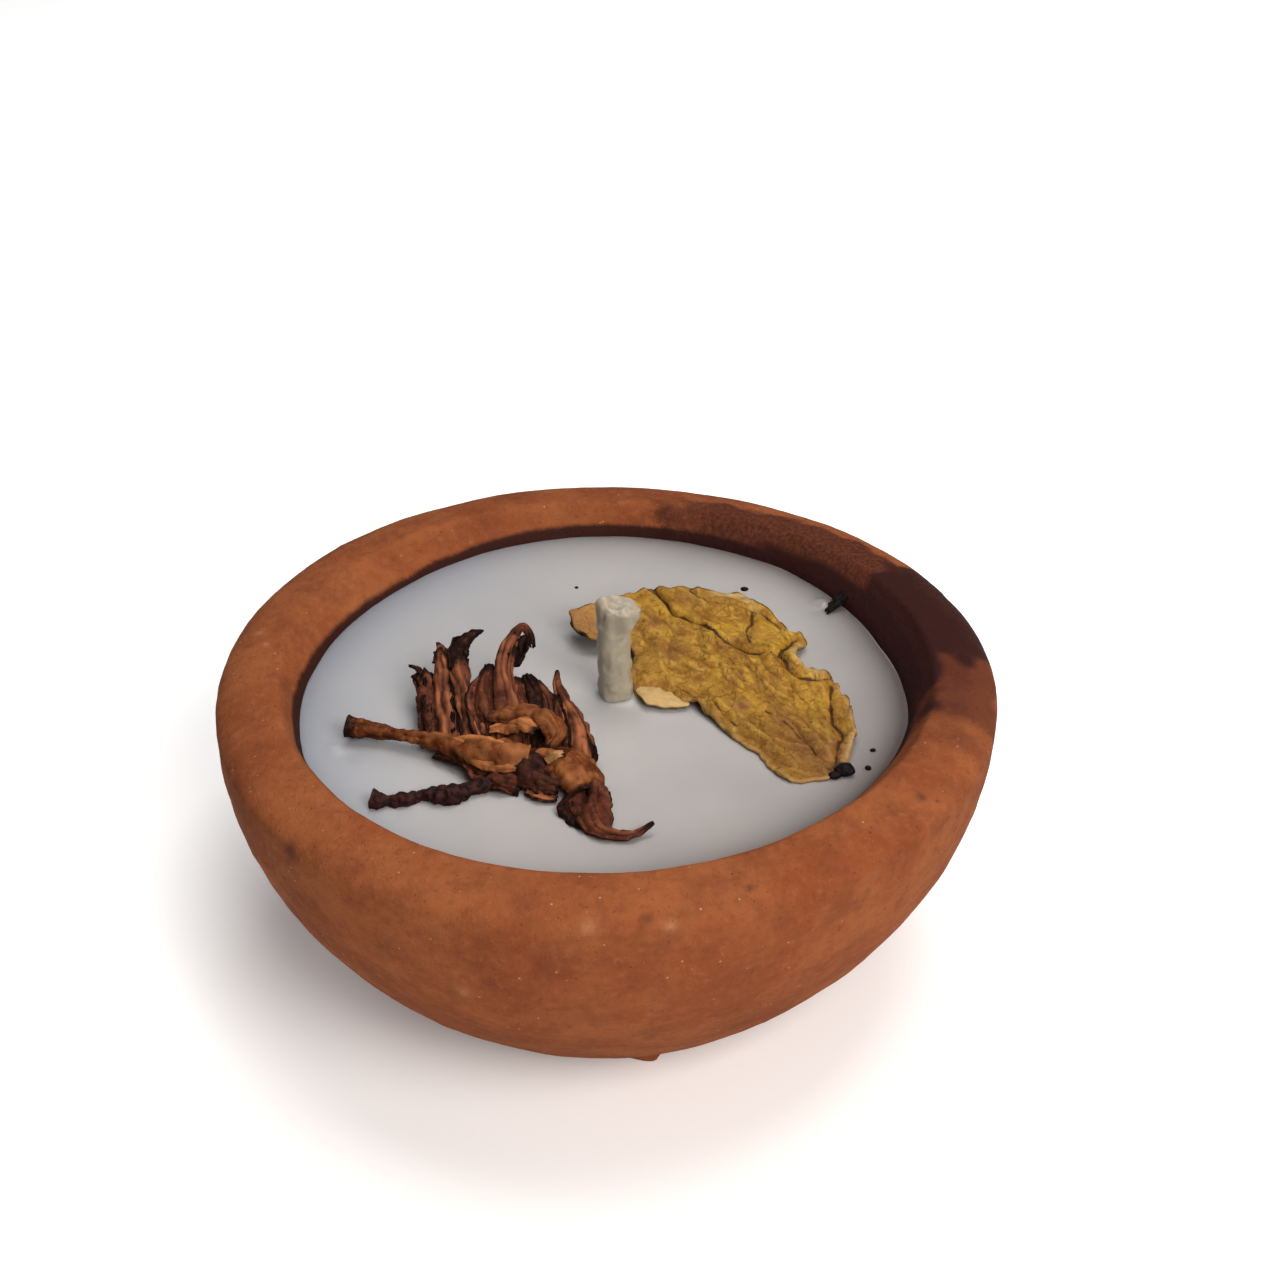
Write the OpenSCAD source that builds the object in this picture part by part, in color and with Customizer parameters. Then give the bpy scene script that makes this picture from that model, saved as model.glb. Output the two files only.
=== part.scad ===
// Clay diya filled with wax, with a cotton wick, a dried petal and a dried flower set on the wax.
// Millimetres, +Z up, origin at the middle of the foot. -Y is the front.

/* [Bowl] */
// Outside diameter of the bowl at its widest
outer_d = 70; // [68:0.5:78]
// Height from the foot to the crest of the lip
bowl_h = 29; // [28:0.5:32]
// Height at which the bowl is widest
widest_z = 27; // [25:0.5:27]
// Diameter of the flat foot
foot_d = 39; // [34:1:44]
// How round the outer wall is, where 1 is a straight cone
wall_power = 2.1; // [1.6:0.1:2.6]
// Width of the rim, from the widest circle to the crest of the lip
rim_w = 5.5; // [4.5:0.5:5.5]
// Thickness of the clay under the wax
floor_t = 6.5; // [5:0.5:8]

/* [Wax and wick] */
// Height of the wax above the foot
wax_z = 26; // [25:0.5:26]
// Diameter of the wick with its wax coat
wick_d = 3; // [2.6:0.1:3.4]
// Diameter of the bare cotton core
core_d = 1.8; // [1.4:0.1:2]
// Height of the wick above the wax
wick_h = 10.2; // [8:0.2:12]
// Diameter of the steel tab that holds the wick upright
tab_d = 15; // [12:0.5:15]

/* [Dried flower and petal] */
// Thickness of the yellow petal
petal_t = 0.4; // [0.3:0.05:0.5]
// Height of the yellow petal's arch above the wax
petal_arch = 1.9; // [1.8:0.1:2.4]
// Slope of the yellow petal down towards its black end, in degrees
petal_slope = 3; // [2:0.5:4]
// Sides of each flower piece's cross-section
section_sides = 12; // [8:2:16]

/* [Hidden] */
$fn = 96;

outer_r = outer_d / 2;
foot_r = foot_d / 2;
crest_r = outer_r - rim_w;      // circle of the lip's highest points
throat_r = crest_r - 2.6;       // where the lip's inner side meets the cavity
throat_z = 23;
lip_power = 1.9;                // outer side of the lip, close to an ellipse
throat_power = 1.4;             // inner side of the lip, a steeper fall
floor_r = 9;                    // flat circle at the bottom of the cavity
cavity_power = 2.3;
wall_steps = 14;
lip_steps = 7;
burr_r = 1.8;                   // lump of clay at the foot, left by the cutting string
burr_h = 0.7;
burr_angle = -78;               // its direction from the bowl's axis

wick_at = [1, -0.6];
tab_t = 0.3;
glue_t = 0.8;
glue_d = 11;
collar_h = 3.5;
collar_wall = 0.3;
tab_z = floor_t + glue_t;
core_z = tab_z + tab_t;
coat_z = core_z + collar_h;     // the coat starts above the tab's collar
wax_creep = 0.3;                // how far the wax climbs the clay and the wick
creep_w = 0.8;

// Outline of the yellow petal seen from above.
PETAL_OUTLINE = [
    [-3.1, 10.8], [-2.4, 7.6], [-0.4, 5.4], [1.7, 3.2], [2.9, 1.6], [3.2, -1.6],
    [4.4, -2.9], [6.2, -3.6], [8.6, -4.2], [11.3, -7.7], [13.9, -10.3], [14.1, -12.2],
    [15.6, -13.9], [18.5, -14], [19.6, -13.2], [21.6, -9.4], [22.1, -6.4], [21.2, -2.8],
    [20.4, 0.3], [18.2, 1.7], [17.4, 3.6], [18.6, 6.4], [17.6, 8.2], [15.9, 10.7],
    [13.4, 13.2], [9, 13.1], [4.8, 13], [0.9, 12],
];
petal_along = [18, -22];        // direction of the petal's length
petal_ridge = 11;               // distance of the ridge line from the origin, across the length
petal_bend_r = 27;
petal_pivot = 6;                // distance along the petal at which its slope crosses the arch's height
petal_room = 60;                // longer than the petal in every direction
claw_at = [20.5, -13.2];        // black end of the petal
claw_r = 0.45;

// Flower pieces: the points of each centre line, height above the wax last, then the half widths
// at those points, the half thickness, and how far the section is cupped.
HUB = [[[-8.2, -13, 1.3], [-6.4, -13.6, 1.5], [-4.6, -14, 1.3]], [1.2, 1.9, 1.3], 1.5, 0];
TUBE = [
    [[-7.6, -12.7, 1.5], [-9.4, -11.8, 1.6], [-11.7, -10.7, 1.5], [-14.3, -9.3, 1.3],
     [-18, -7.9, 1], [-20.8, -7.1, 0.9], [-22.3, -6.8, 0.95]],
    [1.2, 1.3, 1.15, 0.95, 0.7, 0.7, 1.05], 1.1, 0];
STALK = [
    [[-9.6, -14.3, 0.7], [-11.1, -14.9, 0.6], [-13.2, -15.7, 0.5], [-15.3, -15.6, 0.5],
     [-17.4, -16.3, 0.45], [-19.4, -16.3, 0.6]],
    [0.6, 0.6, 0.7, 0.6, 0.5, 0.75], 0.7, 0];
UPPER_LIMB = [
    [[-5.6, -13.2, 2.5], [-3.4, -12.8, 2.4], [-1.6, -13.4, 1.8], [-0.4, -15, 1.2]],
    [1.2, 1.9, 1.8, 1.4], 0.35, 0.25];
TAIL_LIMB = [
    [[-0.8, -14.6, 1.3], [-1.2, -17.3, 1.1], [-0.8, -19.6, 0.8], [0.6, -21.1, 0.5],
     [2.4, -21.2, 0.5], [3.7, -20.9, 0.9]],
    [1.3, 1.6, 1.1, 0.6, 0.35, 0.15], 0.3, 0];
LEFT_BRACT = [
    [[-12.4, -11.6, 1.1], [-10.2, -13.4, 0.8], [-8, -15.2, 0.3]], [0.4, 0.8, 0.6], 0.3, 0.2];
FRONT_BRACT = [
    [[-7, -14.6, 1], [-5.4, -15.4, 0.6], [-3.6, -15.9, 0.2]], [0.6, 0.9, 0.4], 0.3, 0.2];
RAGGED = [
    [[-15.1, -8.8, 1.4], [-15.6, -5.4, 2.1], [-15.9, -3, 2.8], [-16.5, -0.9, 3.2]],
    [0.5, 0.7, 0.75, 0.3], 0.25, 0.3];
BROAD = [
    [[-13.4, -9.7, 1.7], [-14, -5.8, 2.7], [-14.4, -2, 3.6], [-14.3, 1, 4.2]],
    [0.6, 1, 0.9, 0.35], 0.25, 0.4];
BLADE = [
    [[-11.7, -10.4, 2], [-12.5, -5.4, 3.2], [-13, -1.5, 4.1], [-12.7, 0.2, 4.7],
     [-11.2, 2.5, 5]],
    [0.6, 0.65, 0.6, 0.8, 0.2], 0.22, 0.4];
INNER = [
    [[-9.8, -11.2, 2.2], [-10.6, -7, 3.1], [-11.2, -4.1, 3.8], [-10.1, -1.2, 4.6]],
    [0.7, 0.95, 0.9, 0.25], 0.25, 0.5];
HOOK = [
    [[-8, -12, 2.2], [-8.7, -6.2, 3.6], [-9.1, -1.4, 4.9], [-8.4, 0.9, 5.8],
     [-7.3, 1.6, 6], [-6.5, 1.2, 5.2], [-6.2, 0.6, 4.4]],
    [0.7, 0.9, 0.9, 0.6, 0.4, 0.35, 0.2], 0.22, 0.2];
DARK = [
    [[-5.9, -12.8, 2.2], [-5.9, -8, 2.9], [-6.7, -4.6, 3.8], [-7.3, -2.6, 4.3]],
    [0.8, 1.15, 0.9, 0.3], 0.22, 0.5];
RIGHT = [
    [[-3.6, -12.4, 2.3], [-3.2, -8, 2.6], [-4.2, -4.8, 3.6], [-4.4, -2.7, 4.2]],
    [0.8, 1.2, 0.8, 0.15], 0.25, 0.4];
CURL = [
    [[-9, -10.8, 3.9], [-7.3, -10.3, 4.7], [-5.4, -11, 4.2], [-4.6, -12.6, 2.6]],
    [0.7, 0.9, 0.9, 0.6], 0.3, 0.5];
sweep_steps = 4;                // rings between two points of a centre line

// Dark specks on the wax: place and radius.
SPECKS = [[22.6, -12.2, 0.3], [23.3, -9.6, 0.28], [-2.6, 17.9, 0.2]];
flake_at = [21.7, 14.1];

// ---- Shapes -------------------------------------------------------------------------------

// Radius of a round wall that rises from r0 to r1, at the share t of its height.
function wall_r(r0, r1, t, power) = r0 + (r1 - r0) * (1 - pow(1 - t, power));
// Radius of the lip's quarter round, from r_side at its foot to the crest.
function lip_r(r_side, t, power) = crest_r + (r_side - crest_r) * pow(1 - pow(t, power), 1 / power);
function throat_lip_r(z) = lip_r(throat_r, (z - throat_z) / (bowl_h - throat_z), throat_power);

function outer_wall() = [for (i = [0:wall_steps])
    let (t = i / wall_steps) [wall_r(foot_r, outer_r, t, wall_power), widest_z * t]];
function outer_lip() = [for (i = [1:lip_steps])
    let (t = sin(90 * i / lip_steps))
    [lip_r(outer_r, t, lip_power), widest_z + (bowl_h - widest_z) * t]];
function inner_lip() = [for (i = [1:lip_steps])
    let (z = bowl_h - (bowl_h - throat_z) * (1 - cos(90 * i / lip_steps)))
    [throat_lip_r(z), z]];
function cavity_wall() = [for (i = [wall_steps:-1:0])
    let (t = i / wall_steps)
    [wall_r(floor_r, throat_r, t, cavity_power), floor_t + (throat_z - floor_t) * t]];

// Moves a point on the wax to its height in the model.
function on_wax(p) = [p[0], p[1], p[2] + wax_z];

function unit(v) = v / norm(v);
// A point of the smooth curve through pts, at the distance s counted in points.
function along(pts, s) =
    let (
        last = len(pts) - 1,
        i = min(floor(s), last - 1),
        u = s - i,
        a = pts[max(i - 1, 0)], b = pts[i], c = pts[i + 1], d = pts[min(i + 2, last)]
    )
    b + 0.5 * u * (c - a + u * (2 * a - 5 * b + 4 * c - d + u * (3 * (b - c) + d - a)));

// One strip or stem: an oval section carried along a centre line. The section lies flat, and
// cup lifts its two edges.
module swept(piece) {
    line = [for (p = piece[0]) on_wax(p)];
    widths = piece[1];
    thick = piece[2];
    cup = piece[3];
    last = (len(line) - 1) * sweep_steps;
    rings = [for (k = [0:last])
        let (
            s = k / sweep_steps,
            here = along(line, s),
            ahead = unit(along(line, min(s + 0.1, len(line) - 1)) - along(line, max(s - 0.1, 0))),
            side = unit(cross([0, 0, 1], ahead)),
            up = cross(ahead, side),
            w = along(widths, s)
        )
        [for (j = [0:section_sides - 1])
            let (a = 360 * j / section_sides, x = cos(a))
            here + side * w * x + up * (min(thick, w) * sin(a) + cup * w * x * x)]];
    n = section_sides;
    polyhedron(
        points = [for (ring = rings) each ring],
        faces = concat(
            [[for (j = [0:n - 1]) j]],
            [for (k = [0:last - 1], j = [0:n - 1]) each
                let (a = k * n + j, b = k * n + (j + 1) % n)
                [[a, a + n, b], [b, a + n, b + n]]],
            [[for (j = [n - 1:-1:0]) last * n + j]]));
}

// A flower piece, trimmed flat where it lies on the wax and trimmed back from the pieces that
// it grows out of.
module trimmed(piece, earlier = []) {
    difference() {
        swept(piece);
        translate([-outer_r, -outer_r, wax_z - outer_r]) cube([outer_d, outer_d, outer_r]);
        for (other = earlier) swept(other);
    }
}

// ---- Bowl, wax and wick -------------------------------------------------------------------

module clay_bowl() {
    color("sienna") {
        rotate_extrude()
            polygon(concat(
                [[0, 0]], outer_wall(), outer_lip(), inner_lip(), cavity_wall(),
                [[0, floor_t]]));
        rotate([0, 0, burr_angle]) translate([foot_r - burr_r / 2, 0, 0])
            cylinder(r = burr_r, h = burr_h);
    }
}

module wax_body() {
    below = [for (p = concat(inner_lip(), cavity_wall())) if (p[1] < wax_z - 0.01) p];
    top_z = wax_z + wax_creep;
    rotate_extrude()
        polygon(concat(
            [[0, wax_z], [throat_lip_r(wax_z) - creep_w, wax_z],
             [throat_lip_r(wax_z) - creep_w / 3, wax_z + wax_creep / 3],
             [throat_lip_r(top_z), top_z], [throat_lip_r(wax_z), wax_z]],
            below, [[0, floor_t]]));
    translate([wick_at[0], wick_at[1], wax_z])
        cylinder(r1 = wick_d / 2 + creep_w, r2 = wick_d / 2, h = wax_creep);
}

module wax_fill() {
    color("ghostwhite")
        difference() {
            wax_body();
            translate(wick_at) {
                translate([0, 0, coat_z]) cylinder(d = wick_d, h = bowl_h);
                translate([0, 0, core_z]) cylinder(d = core_d + 2 * collar_wall, h = collar_h);
                translate([0, 0, tab_z]) cylinder(d = tab_d, h = tab_t);
                translate([0, 0, floor_t]) cylinder(d = glue_d, h = glue_t);
            }
        }
}

module wick_core() {
    color("beige")
        translate([wick_at[0], wick_at[1], tab_z])
            cylinder(d = core_d, h = wax_z + wick_h - 0.6 - tab_z);
}

// The coat stands on the tab's collar and ends in a blob that leans over to one side.
module wick_coat() {
    top = wax_z + wick_h;
    head_r = wick_d * 0.58;
    color("ivory")
        difference() {
            union() {
                translate([wick_at[0], wick_at[1], coat_z])
                    cylinder(d = wick_d, h = top - head_r - coat_z);
                hull() {
                    translate([wick_at[0] - 0.4, wick_at[1] + 0.1, top - head_r])
                        sphere(head_r, $fn = 32);
                    translate([wick_at[0] + 0.6, wick_at[1] - 0.1, top - head_r - 0.2])
                        sphere(head_r * 0.85, $fn = 32);
                }
                translate([wick_at[0] - 0.9, wick_at[1], top]) sphere(0.55, $fn = 24);
            }
            wick_core();
        }
}

module wick_tab() {
    color("silver")
        translate([wick_at[0], wick_at[1], tab_z])
            difference() {
                union() {
                    cylinder(d = tab_d, h = tab_t);
                    cylinder(d = core_d + 2 * collar_wall, h = tab_t + collar_h);
                }
                translate([0, 0, -1]) cylinder(d = core_d, h = collar_h + 3);
            }
}

module glue_dot() {
    color("wheat")
        translate([wick_at[0], wick_at[1], floor_t]) cylinder(d = glue_d, h = glue_t);
}

// ---- Dried petal and flecks ---------------------------------------------------------------

// The petal is cut from a thin shell that bends across its length and slopes along it.
module yellow_petal() {
    angle = atan2(petal_along[1], petal_along[0]);
    color("goldenrod")
        intersection() {
            translate([0, 0, wax_z]) linear_extrude(petal_arch + 2) polygon(PETAL_OUTLINE);
            rotate([0, 0, angle])
                translate([petal_pivot, petal_ridge, wax_z + petal_arch - petal_bend_r])
                    rotate([0, 90 + petal_slope, 0])
                        difference() {
                            cylinder(r = petal_bend_r, h = petal_room, center = true, $fn = 180);
                            cylinder(r = petal_bend_r - petal_t, h = petal_room + 2,
                                     center = true, $fn = 180);
                        }
        }
}

module petal_claw() {
    color("black")
        difference() {
            translate([claw_at[0], claw_at[1], wax_z + claw_r])
                hull()
                    for (end = [-1, 1])
                        translate([end * claw_r, end * claw_r / 2, 0]) sphere(claw_r, $fn = 16);
            yellow_petal();
        }
}

module char_flake() {
    color("black")
        translate([flake_at[0], flake_at[1], wax_z])
            rotate([0, 0, -20])
                linear_extrude(0.6, scale = 0.5)
                    polygon([[-1.1, -0.2], [-0.3, -0.6], [0.8, -0.4], [1, 0.2], [0, 0.5]]);
}

module char_specks() {
    color("black")
        for (s = SPECKS)
            translate([s[0], s[1], wax_z]) cylinder(r1 = s[2], r2 = s[2] / 2, h = s[2]);
}

// ---- Dried flower -------------------------------------------------------------------------

module flower_hub() { color("saddlebrown") trimmed(HUB); }
module flower_tube() { color("peru") trimmed(TUBE, [HUB]); }
module bract_left() { color("brown") trimmed(LEFT_BRACT, [HUB, TUBE]); }
module bract_front() { color("maroon") trimmed(FRONT_BRACT, [HUB]); }
module flower_stalk() { color("maroon") trimmed(STALK, [LEFT_BRACT]); }
module limb_upper() { color("peru") trimmed(UPPER_LIMB, [HUB]); }
module limb_tail() { color("saddlebrown") trimmed(TAIL_LIMB, [UPPER_LIMB]); }
module petal_ragged() { color("sienna") trimmed(RAGGED, [TUBE]); }
module petal_broad() { color("sienna") trimmed(BROAD, [TUBE]); }
module petal_blade() { color("sienna") trimmed(BLADE, [TUBE]); }
module petal_inner() { color("saddlebrown") trimmed(INNER, [TUBE]); }
module petal_hook() { color("sienna") trimmed(HOOK, [TUBE]); }
module petal_dark() { color("maroon") trimmed(DARK, [HUB, UPPER_LIMB]); }
module petal_right() { color("sienna") trimmed(RIGHT, [UPPER_LIMB]); }
module petal_curl() { color("peru") trimmed(CURL, [UPPER_LIMB, RIGHT]); }

clay_bowl();
wax_fill();
wick_core();
wick_coat();
wick_tab();
glue_dot();
yellow_petal();
petal_claw();
flower_hub();
flower_tube();
flower_stalk();
limb_upper();
limb_tail();
bract_left();
bract_front();
petal_ragged();
petal_broad();
petal_blade();
petal_inner();
petal_hook();
petal_dark();
petal_right();
petal_curl();
char_flake();
char_specks();
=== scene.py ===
"""A clay diya filled with wax: detailed pieces, materials, light and camera round the frame.

Lengths are in millimetres until a mesh is made. A height written in a list of points is counted
from the surface of the wax. The frame's axes are kept: +Z is up and -Y is the front.
"""
import math
import random
from collections import Counter

import bmesh
import bpy
import numpy as np
from mathutils import Matrix, Vector, noise


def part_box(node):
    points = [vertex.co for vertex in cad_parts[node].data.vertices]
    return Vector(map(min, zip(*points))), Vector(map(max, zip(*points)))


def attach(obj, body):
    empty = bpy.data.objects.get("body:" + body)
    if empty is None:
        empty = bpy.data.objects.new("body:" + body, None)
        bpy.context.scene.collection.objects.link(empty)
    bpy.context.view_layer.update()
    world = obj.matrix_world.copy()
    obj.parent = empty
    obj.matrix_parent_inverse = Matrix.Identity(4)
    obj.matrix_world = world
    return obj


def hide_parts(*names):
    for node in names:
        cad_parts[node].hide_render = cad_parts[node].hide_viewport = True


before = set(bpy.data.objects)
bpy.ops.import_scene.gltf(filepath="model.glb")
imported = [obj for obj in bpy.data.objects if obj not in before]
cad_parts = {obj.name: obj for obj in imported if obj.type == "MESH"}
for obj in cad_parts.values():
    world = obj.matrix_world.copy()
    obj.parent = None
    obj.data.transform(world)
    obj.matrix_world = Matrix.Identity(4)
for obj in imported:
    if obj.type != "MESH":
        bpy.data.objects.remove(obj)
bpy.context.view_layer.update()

MM = 0.001
UP = Vector((0, 0, 1))


# ---- Sizes, from the frame ----

def box_mm(node):
    low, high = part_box(node)
    return low / MM, high / MM


_, bowl_high = box_mm("clay_bowl")
wax_low, wax_high = box_mm("wax_fill")
coat_low, coat_high = box_mm("wick_coat")
core_low, core_high = box_mm("wick_core")
tab_low, tab_high = box_mm("wick_tab")
glue_low, glue_high = box_mm("glue_dot")

OUTER_R = bowl_high.x
BOWL_H = bowl_high.z
FOOT_R = 0.557 * OUTER_R
WIDEST_Z = BOWL_H - 2
CREST_R = OUTER_R - 5.5
THROAT_R = CREST_R - 2.6
THROAT_Z = BOWL_H - 6
FLOOR_Z = wax_low.z
FLOOR_R = 9
CREEP = 0.3                     # how far the wax climbs what it touches
WAX_Z = wax_high.z - CREEP
WICK = (core_low + core_high) / 2
CORE_R = (core_high.x - core_low.x) / 2
COAT_R = 1.5
COLLAR_R = CORE_R + 0.3
TAB_R = (tab_high.x - tab_low.x) / 2
GLUE_R = (glue_high.x - glue_low.x) / 2
TAB_T = 0.3


# ---- Small helpers ----

def noise_of(x, y, z):
    return noise.noise(Vector((x, y, z)))


def smooth(low, high, x):
    """0 below low, 1 above high, and a smooth step between them. low may be above high."""
    t = np.clip((x - low) / (high - low), 0, 1)
    return t * t * (3 - 2 * t)


def rough(p, size, octaves=3, seed=0.0):
    """Fractal noise, mostly between -1 and 1, whose lumps are about size mm wide."""
    return noise.fractal(Vector(p) / size + Vector((seed, 1.7 * seed, -seed)), 1.0, 2.0, octaves)


def catmull(points, steps):
    """A smooth curve through rows of numbers, with the given number of steps from row to row."""
    rows = np.array(points, float)
    padded = np.vstack([2 * rows[0] - rows[1], rows, 2 * rows[-1] - rows[-2]])
    out = []
    for i in range(1, len(rows)):
        a, b, c, d = padded[i - 1], padded[i], padded[i + 1], padded[i + 2]
        for u in np.arange(steps) / steps:
            out.append(b + 0.5 * u * (c - a + u * (2 * a - 5 * b + 4 * c - d
                                                   + u * (3 * (b - c) + d - a))))
    return np.array(out + [rows[-1]])


def resample(points, count):
    """The same line with count points at equal distances."""
    rows = np.array(points, float)
    run = np.concatenate([[0], np.cumsum(np.linalg.norm(np.diff(rows, axis=0), axis=1))])
    at = np.linspace(0, run[-1], count)
    return np.stack([np.interp(at, run, column) for column in rows.T], axis=1)


def grid_faces(rows, columns, wrap):
    """Faces of a grid of points stored row by row. wrap joins the last column to the first."""
    across = columns if wrap else columns - 1
    return [(i * columns + j, i * columns + (j + 1) % columns,
             (i + 1) * columns + (j + 1) % columns, (i + 1) * columns + j)
            for i in range(rows - 1) for j in range(across)]


def tube_faces(rows, columns):
    """Faces of a tube of rings, closed by fans to the two points that come after the rings."""
    faces = grid_faces(rows, columns, True)
    start, last = rows * columns, (rows - 1) * columns
    for j in range(columns):
        faces.append((start, (j + 1) % columns, j))
        faces.append((start + 1, last + j, last + (j + 1) % columns))
    return faces


def noise_at(xs, ys, z):
    return np.array([noise_of(x, y, z) for x, y in zip(xs, ys)])


def bell(far, width):
    """1 where far is 0, falling to 0 beyond width."""
    return np.exp(-(far / width) ** 2)


def whole_turn(columns):
    return [2 * math.pi * j / columns for j in range(columns)]


def signed_degrees(angle):
    return (math.degrees(angle) + 180) % 360 - 180


def make_piece(name, points, faces, material, tones):
    """A smooth-shaded mesh object from points in mm. tones holds one value per point by name."""
    mesh = bpy.data.meshes.new(name)
    mesh.from_pydata([Vector(p) * MM for p in points], [], faces)
    for tone, values in tones.items():
        layer = mesh.attributes.new(tone, "FLOAT", "POINT")
        layer.data.foreach_set("value", np.asarray(values, np.float32))
    mesh.materials.append(material)
    mesh.shade_smooth()
    piece = bpy.data.objects.new(name, mesh)
    bpy.context.scene.collection.objects.link(piece)
    return piece


def fit(piece, node, thickness=0.0):
    """Puts a finished piece on the frame, in place of a CAD node if one is named. A piece that
    is a sheet gets a thickness."""
    if thickness:
        solid = piece.modifiers.new("thickness", "SOLIDIFY")
        solid.thickness = thickness * MM
        solid.offset = 0
    if node:
        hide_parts(node)
    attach(piece, "root")


# ---- Material building ----

class Look:
    """One procedural material. Its patterns are laid out in millimetres of the frame."""

    def __init__(self, name, roughness, **settings):
        self.material = bpy.data.materials.new(name)
        self.material.use_nodes = True
        self.tree = self.material.node_tree
        self.shader = self.tree.nodes["Principled BSDF"]
        self.shader.inputs["Roughness"].default_value = roughness
        for socket, value in settings.items():
            self.shader.inputs[socket.replace("_", " ")].default_value = value
        place = self.tree.nodes.new("ShaderNodeTexCoord").outputs["Object"]
        self.place = self.vector("MULTIPLY", place, (1 / MM,) * 3)

    def put(self, socket, value):
        if isinstance(value, bpy.types.NodeSocket):
            self.tree.links.new(value, socket)
        elif hasattr(value, "__len__") and len(value) == 3 and socket.type == "RGBA":
            socket.default_value = (*value, 1)
        else:
            socket.default_value = value

    def node(self, kind, inputs, **settings):
        """The outputs of a new node whose inputs are linked or set, and whose settings are set."""
        node = self.tree.nodes.new("ShaderNode" + kind)
        for name, value in settings.items():
            setattr(node, name, value)
        for socket, value in inputs.items():
            self.put(node.inputs[socket], value)
        return node.outputs

    def vector(self, operation, a, b):
        return self.node("VectorMath", {0: a, 1: b}, operation=operation)[0]

    def math(self, operation, a, b):
        return self.node("Math", {0: a, 1: b}, operation=operation)[0]

    def add(self, a, b):
        return self.math("ADD", a, b)

    def times(self, a, b):
        return self.math("MULTIPLY", a, b)

    def centred(self, value, scale):
        return self.times(self.math("SUBTRACT", value, 0.5), scale)

    def tone(self, name):
        return self.node("Attribute", {}, attribute_name=name)["Fac"]

    def noise(self, size, detail=4.0, contrast=0.6, stretch=(1, 1, 1)):
        """Noise whose lumps are about size mm wide, stretched by the given shares."""
        return self.node("TexNoise", {
            "Vector": self.vector("DIVIDE", self.place, stretch), "Scale": 1 / size,
            "Detail": detail, "Roughness": contrast})["Fac"]

    def cells(self, size, place=None, feature="F1"):
        """Distance to the nearest cell centre, or to the nearest edge, of cells size mm wide."""
        return self.node("TexVoronoi", {"Vector": place or self.place, "Scale": 1 / size},
                         feature=feature)["Distance"]

    def crackle(self, size, warp):
        """Distance to the nearest line of a net of bent lines about size mm apart."""
        bend = self.node("TexNoise", {"Vector": self.place, "Scale": 0.7 / size})["Color"]
        shift = self.vector("MULTIPLY", bend, (warp * size,) * 3)
        return self.cells(size, self.vector("ADD", self.place, shift), "DISTANCE_TO_EDGE")

    def step(self, value, low, high, out_low=0.0, out_high=1.0):
        """Maps low to out_low and high to out_high, smoothly, and stops at both."""
        return self.node("MapRange", {
            "Value": value, "From Min": low, "From Max": high, "To Min": out_low,
            "To Max": out_high}, interpolation_type="SMOOTHSTEP")["Result"]

    def mix(self, share, a, b):
        return self.node("Mix", {"Factor": share, "A": a, "B": b}, data_type="RGBA")["Result"]

    def coats(self, body, *layers):
        """Colours laid over body in turn, each by a value or a tone's name and a strength."""
        for share, strength, tint in layers:
            if isinstance(share, str):
                share = self.tone(share)
            body = self.mix(self.times(share, strength), body, tint)
        self.put(self.shader.inputs["Base Color"], body)

    def roughness(self, value):
        self.put(self.shader.inputs["Roughness"], value)

    def bump(self, *layers):
        """Each layer is (height, its depth in mm)."""
        total = 0.0
        for height, depth in layers:
            total = self.add(self.times(height, depth * MM), total)
        bumps = self.node("Bump", {"Strength": 1, "Distance": 1, "Height": total})
        self.put(self.shader.inputs["Normal"], bumps["Normal"])


# ---- Materials ----

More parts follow.
